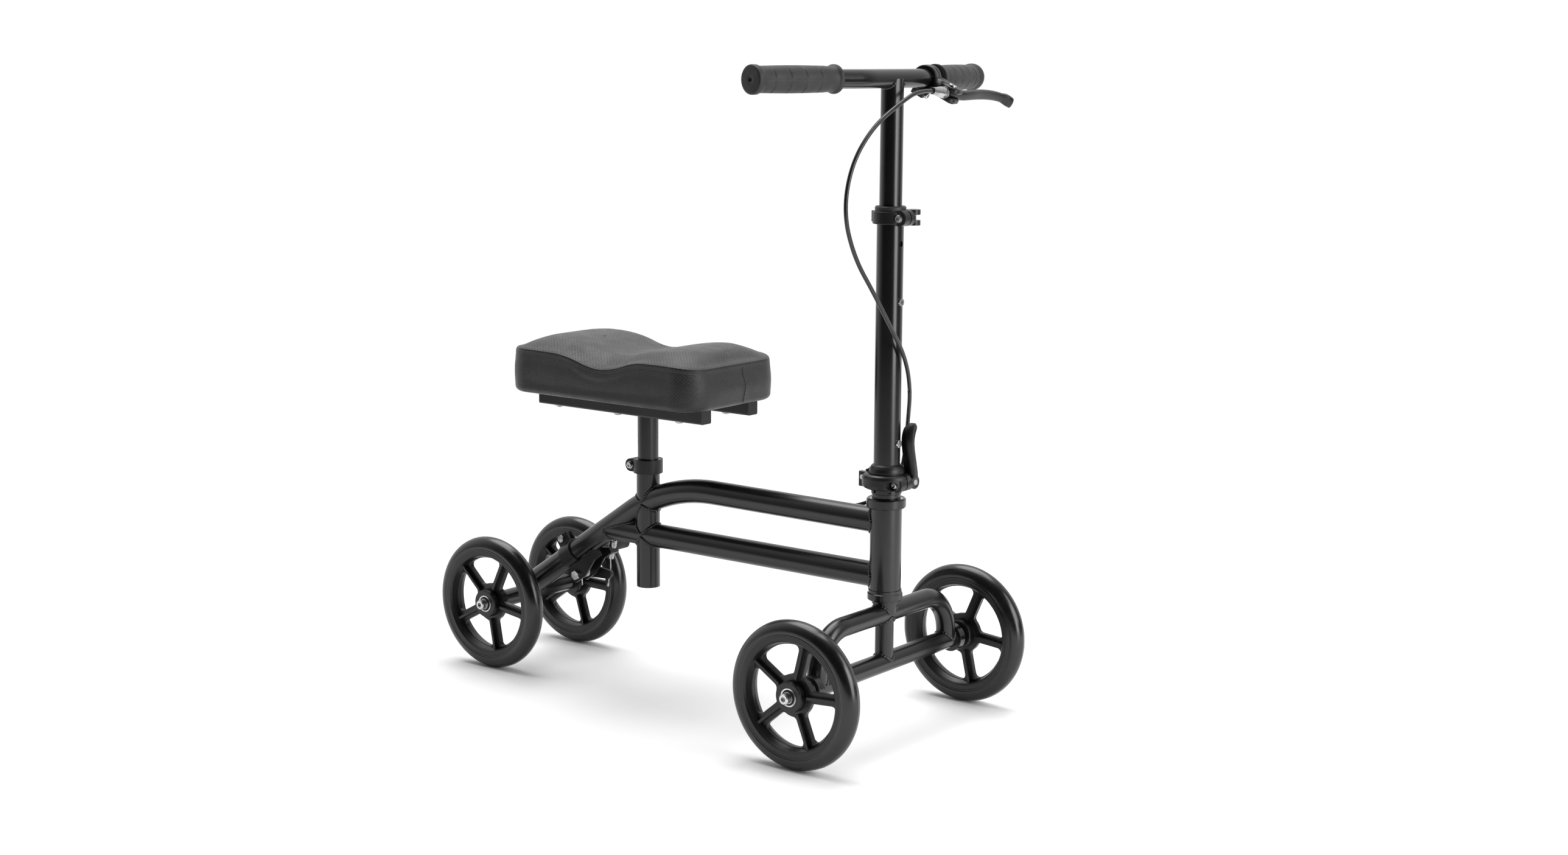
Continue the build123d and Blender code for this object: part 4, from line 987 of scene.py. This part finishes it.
def rounded_prism(outline, low, high, radius):
    """A cast plate, in mm: a plan outline between two heights, its sharp edges rounded."""
    maker = bmesh.new()
    made = [maker.verts.new(point) for point in mm(*((x, y, z) for z in (low, high) for x, y in outline))]
    for face in end_caps(2, len(outline)) + grid_faces(2, len(outline)):
        maker.faces.new([made[i] for i in face])
    corners = [e for e in maker.edges if e.calc_face_angle(0.0) > 0.5]
    bmesh.ops.bevel(maker, geom=corners, offset=radius / 1000, segments=3, profile=0.5, affect="EDGES")
    maker.verts.index_update()
    vertices = [v.co.copy() for v in maker.verts]
    faces = [[v.index for v in f.verts] for f in maker.faces]
    maker.free()
    return vertices, faces


def build_perch():
    """The lever's perch: a split clamp on the bar, a broad neck, and two plates round the lever's tongue."""
    place = perch_matrix()
    perch = Bundle()
    clamp = mm((-8.5, 11.15), (-8.5, 14.8), (-7.7, 15.7), (-1.6, 15.9), (-1.1, 15.2))
    clamp += [(-h, r) for h, r in clamp[::-1]]
    perch.add(*lathe(clamp, 96, place @ frame_matrix((0, 0, 0), (0, 1, 0)), closed=True))
    neck = ((12, -9), (12, 9), (20, 9.5), (28.5, 9.5), (28.5, -19.4), (25, -19.4), (18, -12))
    jaw = ((27, -19.4), (27, 9.5), (42, 9), (48, 3), (48.5, -15), (45, -19.4))
    shapes = [(neck, -8.4, 8.4, 1.8), (jaw, 3.7, 8.4, 1.3), (jaw, -8.4, -3.7, 1.3)]
    for near, far in ((-7.8, -0.9), (0.9, 7.8)):
        shapes.append((((near, -7.8), (far, -7.8), (far, 7.8), (near, 7.8)), -22.5, -11.5, 1.2))
    for outline, low, high, radius in shapes:
        vertices, faces = rounded_prism(outline, low, high, radius)
        perch.add([place @ v for v in vertices], faces)
    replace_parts(perch.piece("brake_perch_casting", "cast_black", "stem"), "brake_perch")


# ---- fold lever
FOLD_PIN = Vector((FRONT_X + 0.0205, 0.0215, 0.3125))
# Up the blade, mm: height over the pin, how far its middle lies outwards, and its thickness.
FOLD_BLADE = ((0, 0.5, 9.0), (8, 0.5, 8.2), (16, -0.6, 7.2), (26, -2.6, 6.4), (36, -5.0, 6.0),
              (46, -6.8, 6.0), (54, -6.9, 6.2), (61, -4.8, 6.4), (67, -1.2, 6.0), (71, 2.2, 4.4))


def build_fold_lever():
    """A cam lever: two cheeks on the pin, and a blade that sways in over the column and out at its tip."""
    heights = np.linspace(0, FOLD_BLADE[-1][0], 26)
    centre = smooth_table([(h, m) for h, m, _ in FOLD_BLADE])
    thick = smooth_table([(h, t) for h, _, t in FOLD_BLADE])
    outline = [(centre(h) - thick(h) / 2, h) for h in heights]
    outline += [(centre(h) + thick(h) / 2, h) for h in heights[::-1]]
    vertices, faces = rounded_prism(outline, -7.4, 7.4, 1.6)
    shaped = []
    for v in vertices:
        tip = max(0.0, (v.y - 0.064) / 0.0075)
        foot = max(0.0, (0.012 - v.y) / 0.03)
        narrowed = math.sqrt(max(0.05, 1 - tip * tip)) * (1 - 0.1 * foot)
        shaped.append(FOLD_PIN + Vector((v.z * narrowed, v.x, v.y)))
    lever = Bundle()
    lever.add(shaped, faces)
    cheek = mm((3.5, 3.7), (3.5, 7.6), (4.1, 8.3), (6.9, 8.3), (7.5, 7.7), (7.5, 3.7))
    along = frame_matrix(FOLD_PIN, (1, 0, 0))
    for side in (-1, 1):
        lever.add(*lathe([(side * h, r) for h, r in cheek], 64, along, closed=True))
    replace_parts(lever.piece("fold_lever_casting", "cast_black", "fold_lever"), "fold_lever")


# ---- wheels
TYRE_HALF, TYRE_MIDDLE = 0.013, 0.076     # half width, and the radius its round tread is drawn about
RIDGE_HEIGHT, RIDGE_WIDTH = 0.00022, 0.0005


def tyre_profile():
    """Width and radius round the tyre: a grooved shoulder, and a round tread with a fine moulding ridge."""
    shoulder = mm((-13, 72.1), (-13, 73.2), (-12.6, 73.8), (-12.6, 74.2), (-13, 74.8))
    profile = list(shoulder)
    for k in range(33):
        a = math.pi * k / 32
        across = -TYRE_HALF * math.cos(a)
        ridge = RIDGE_HEIGHT * hump(across, RIDGE_WIDTH)
        profile.append((across, TYRE_MIDDLE + (TYRE_HALF + ridge) * math.sin(a)))
        if k in (15, 16):
            beside = across + RIDGE_WIDTH
            profile.append((beside, TYRE_MIDDLE + 0.01299 + RIDGE_HEIGHT * hump(beside, RIDGE_WIDTH)))
    return profile + [(-across, radius) for across, radius in shoulder[::-1]]


def build_wheels():
    profile = tyre_profile()
    lip = mm((13.52, 6.1), (13.75, 6.4), (13.85, 7.7), (13.75, 9.0), (13.52, 9.3))
    seal_rubber = SLOT_MATERIALS["brake_rubber"]
    for wheel in ("front_right", "front_left", "rear_right", "rear_left"):
        place = frame_matrix(middle(f"{wheel}_rim"), (0, 1, 0))
        tyre = new_piece(f"{wheel}_tyre_body", *lathe(profile, 160, place, closed=True), "tyre_rubber")
        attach(tyre, f"{wheel}_wheel")
        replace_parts(tyre, f"{wheel}_tyre")
        seals = Bundle()
        for side in (-1, 1):
            seals.add(*lathe([(side * h, r) for h, r in lip], 48, place))
        seals.piece(f"{wheel}_bearing_seals", "black_plastic", f"{wheel}_wheel", seal_rubber)


# ---- rear brake
ARM_PIVOT = Vector((-0.204051, 0, 0.126215))
WIRE_ANCHOR = Vector((-0.176859, 0.0236, 0.125442))
CABLE_STOP = Vector((-0.170051, 0.02, 0.157979))
COIL_RADIUS, COIL_LENGTH, COIL_TURNS, TURN_STEPS = 0.0048, 0.0156, 8, 20


def build_brake():
    """The arm's return spring, and the wire that pulls the arm, with its end cap."""
    coil = []
    for k in range(COIL_TURNS * TURN_STEPS + 1):
        a = 2 * math.pi * k / TURN_STEPS
        y = COIL_LENGTH * (k / (COIL_TURNS * TURN_STEPS) - 0.5)
        coil.append(np.array((COIL_RADIUS * math.cos(a), y, COIL_RADIUS * math.sin(a))) + ARM_PIVOT)
    lower_leg = [coil[0] + leg for leg in mm((1, 0, -14), (0.2, 0, -4))]
    upper_leg = [coil[-1] + leg for leg in mm((-0.2, 0, 5), (-1, 0, 12))]
    spring = Bundle()
    spring.add(*tube_mesh(lower_leg + coil + upper_leg, 0.00085, 8))
    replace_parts(spring.piece("return_spring", "silver_hardware", "brake_arm"), "brake_return_spring")

    pull = WIRE_ANCHOR - CABLE_STOP
    pull.y = 0
    pull.normalize()
    upper = [CABLE_STOP + pull * reach for reach in (0.006, 0.012, 0.019)]
    upper[-1].y += 0.002
    wire = smooth_line(upper + [WIRE_ANCHOR + pull * reach for reach in (-0.007, 0.0, 0.008, 0.016)])
    strand = new_piece("brake_inner_wire", *tube_mesh(wire, 0.0008, 8), "silver_hardware", WIRE)
    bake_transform(strand)
    tip = frame_matrix(WIRE_ANCHOR + pull * 0.0135, pull, (0, 1, 0))
    cap = lathe(mm((0, 0.9), (0, 1.3), (1, 1.4), (3.5, 1.4), (5, 1.2), (5.5, 0.4)), 16, tip)
    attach(new_piece("wire_end_cap", *cap, "silver_adjuster"), "brake_arm")


# ---- cable clips
def build_clips(line):
    """Moulded clips that hold the cable to the top tube's left side."""
    top = top_tube_line()
    rear_line = line[150:]
    clips = Bundle()
    for x in (0.205, 0.105, 0.000):
        _, y, z = rear_line[np.argmin(abs(rear_line[:, 0] - x))]
        tube_r, loop_r, tube_z = FRAME_R - 0.0002, CABLE_RADIUS + 0.0012, height_of(top, x)
        around = [(tube_r * c, tube_z + tube_r * s) for c, s in circle(60) if c > 0.86]
        around += [(y + loop_r * c, z + loop_r * s) for c, s in circle(60)]
        outline = np.array([around[i] for i in convex_hull_2d(around)])
        inner = outline.mean(0)
        half = ((0.0, 0.004), (0.86, 0.004), (0.96, 0.0036), (1.0, 0.0028))
        rows = []
        for share, offset in [(s, -o) for s, o in half] + list(half[::-1]):
            rows += [(x + offset, *(inner + (p - inner) * share)) for p in outline]
        clips.add(rows, grid_faces(2 * len(half), len(outline)))
    clips.piece("cable_clips", "black_plastic", "frame")


CABLE_LINE = build_cable()
build_welds()
build_grips()
build_lever()
build_perch()
build_fold_lever()
build_wheels()
build_brake()
build_clips(CABLE_LINE)


# ---- floor and light
def make_floor():
    """A white disc, small enough for upright tubes to reflect darkness on the camera's side."""
    bpy.ops.mesh.primitive_circle_add(vertices=96, radius=1.9, fill_type="NGON")
    floor = bpy.context.object
    floor.name = "floor"
    g = Graph("white_floor")
    tone = g.mix(g.noise(3.0, 4.0), grey(0.86), grey(0.9))
    rough = g.ramp(g.noise(8.0), 0.3, 0.7, 0.75, 0.9)
    floor.data.materials.append(g.close(tone, rough, Specular_IOR_Level=0.1))


def area_light(name, place, target, width, height, power):
    data = bpy.data.lights.new(name, "AREA")
    data.energy = power
    data.shape = "RECTANGLE"
    data.size, data.size_y = width, height
    light = add_object(name, data)
    direction = Vector(place) - Vector(target)
    light.matrix_world = frame_matrix(place, direction, Vector((0, 0, 1)).cross(direction))
    light.visible_camera = False


def make_world():
    """White to the camera; to all else, bright from the left and rear and dark from the camera's side."""
    g = Graph("studio", world=True)
    bpy.context.scene.world = g.owner
    sockets = {0: g.coord.outputs["Generated"], 1: (-0.72, 0.65, 0.25)}
    side = g.put("ShaderNodeVectorMath", sockets, output=1, operation="DOT_PRODUCT")
    g.wire((1, 1, 1, 1), g.shader.inputs["Color"])
    g.wire(g.ramp(side, -0.35, 0.6, 0.006, 1.0), g.shader.inputs["Strength"])
    seen = g.put("ShaderNodeBackground", {"Color": (1, 1, 1, 1), "Strength": 1.02})
    camera_ray = g.put("ShaderNodeLightPath", output="Is Camera Ray")
    both = g.put("ShaderNodeMixShader", {0: camera_ray, 1: g.shader.outputs[0], 2: seen})
    g.wire(both, g.nodes["World Output"].inputs["Surface"])


def make_lights():
    data = bpy.data.lights.new("overhead", "SUN")
    data.energy = 2.6
    data.angle = math.radians(50)
    add_object("overhead", data).matrix_world = frame_matrix((0, 0, 3), (-0.25, 0.18, 1.0), (1, 0, 0))
    area_light("right_box", (2.3, 0.6, 1.5), (0.1, 0, 0.45), 0.8, 1.8, 24)
    area_light("front_strip", (2.2, -0.1, 0.8), (0.28, 0, 0.8), 0.85, 1.5, 27)


make_floor()
make_world()
make_lights()
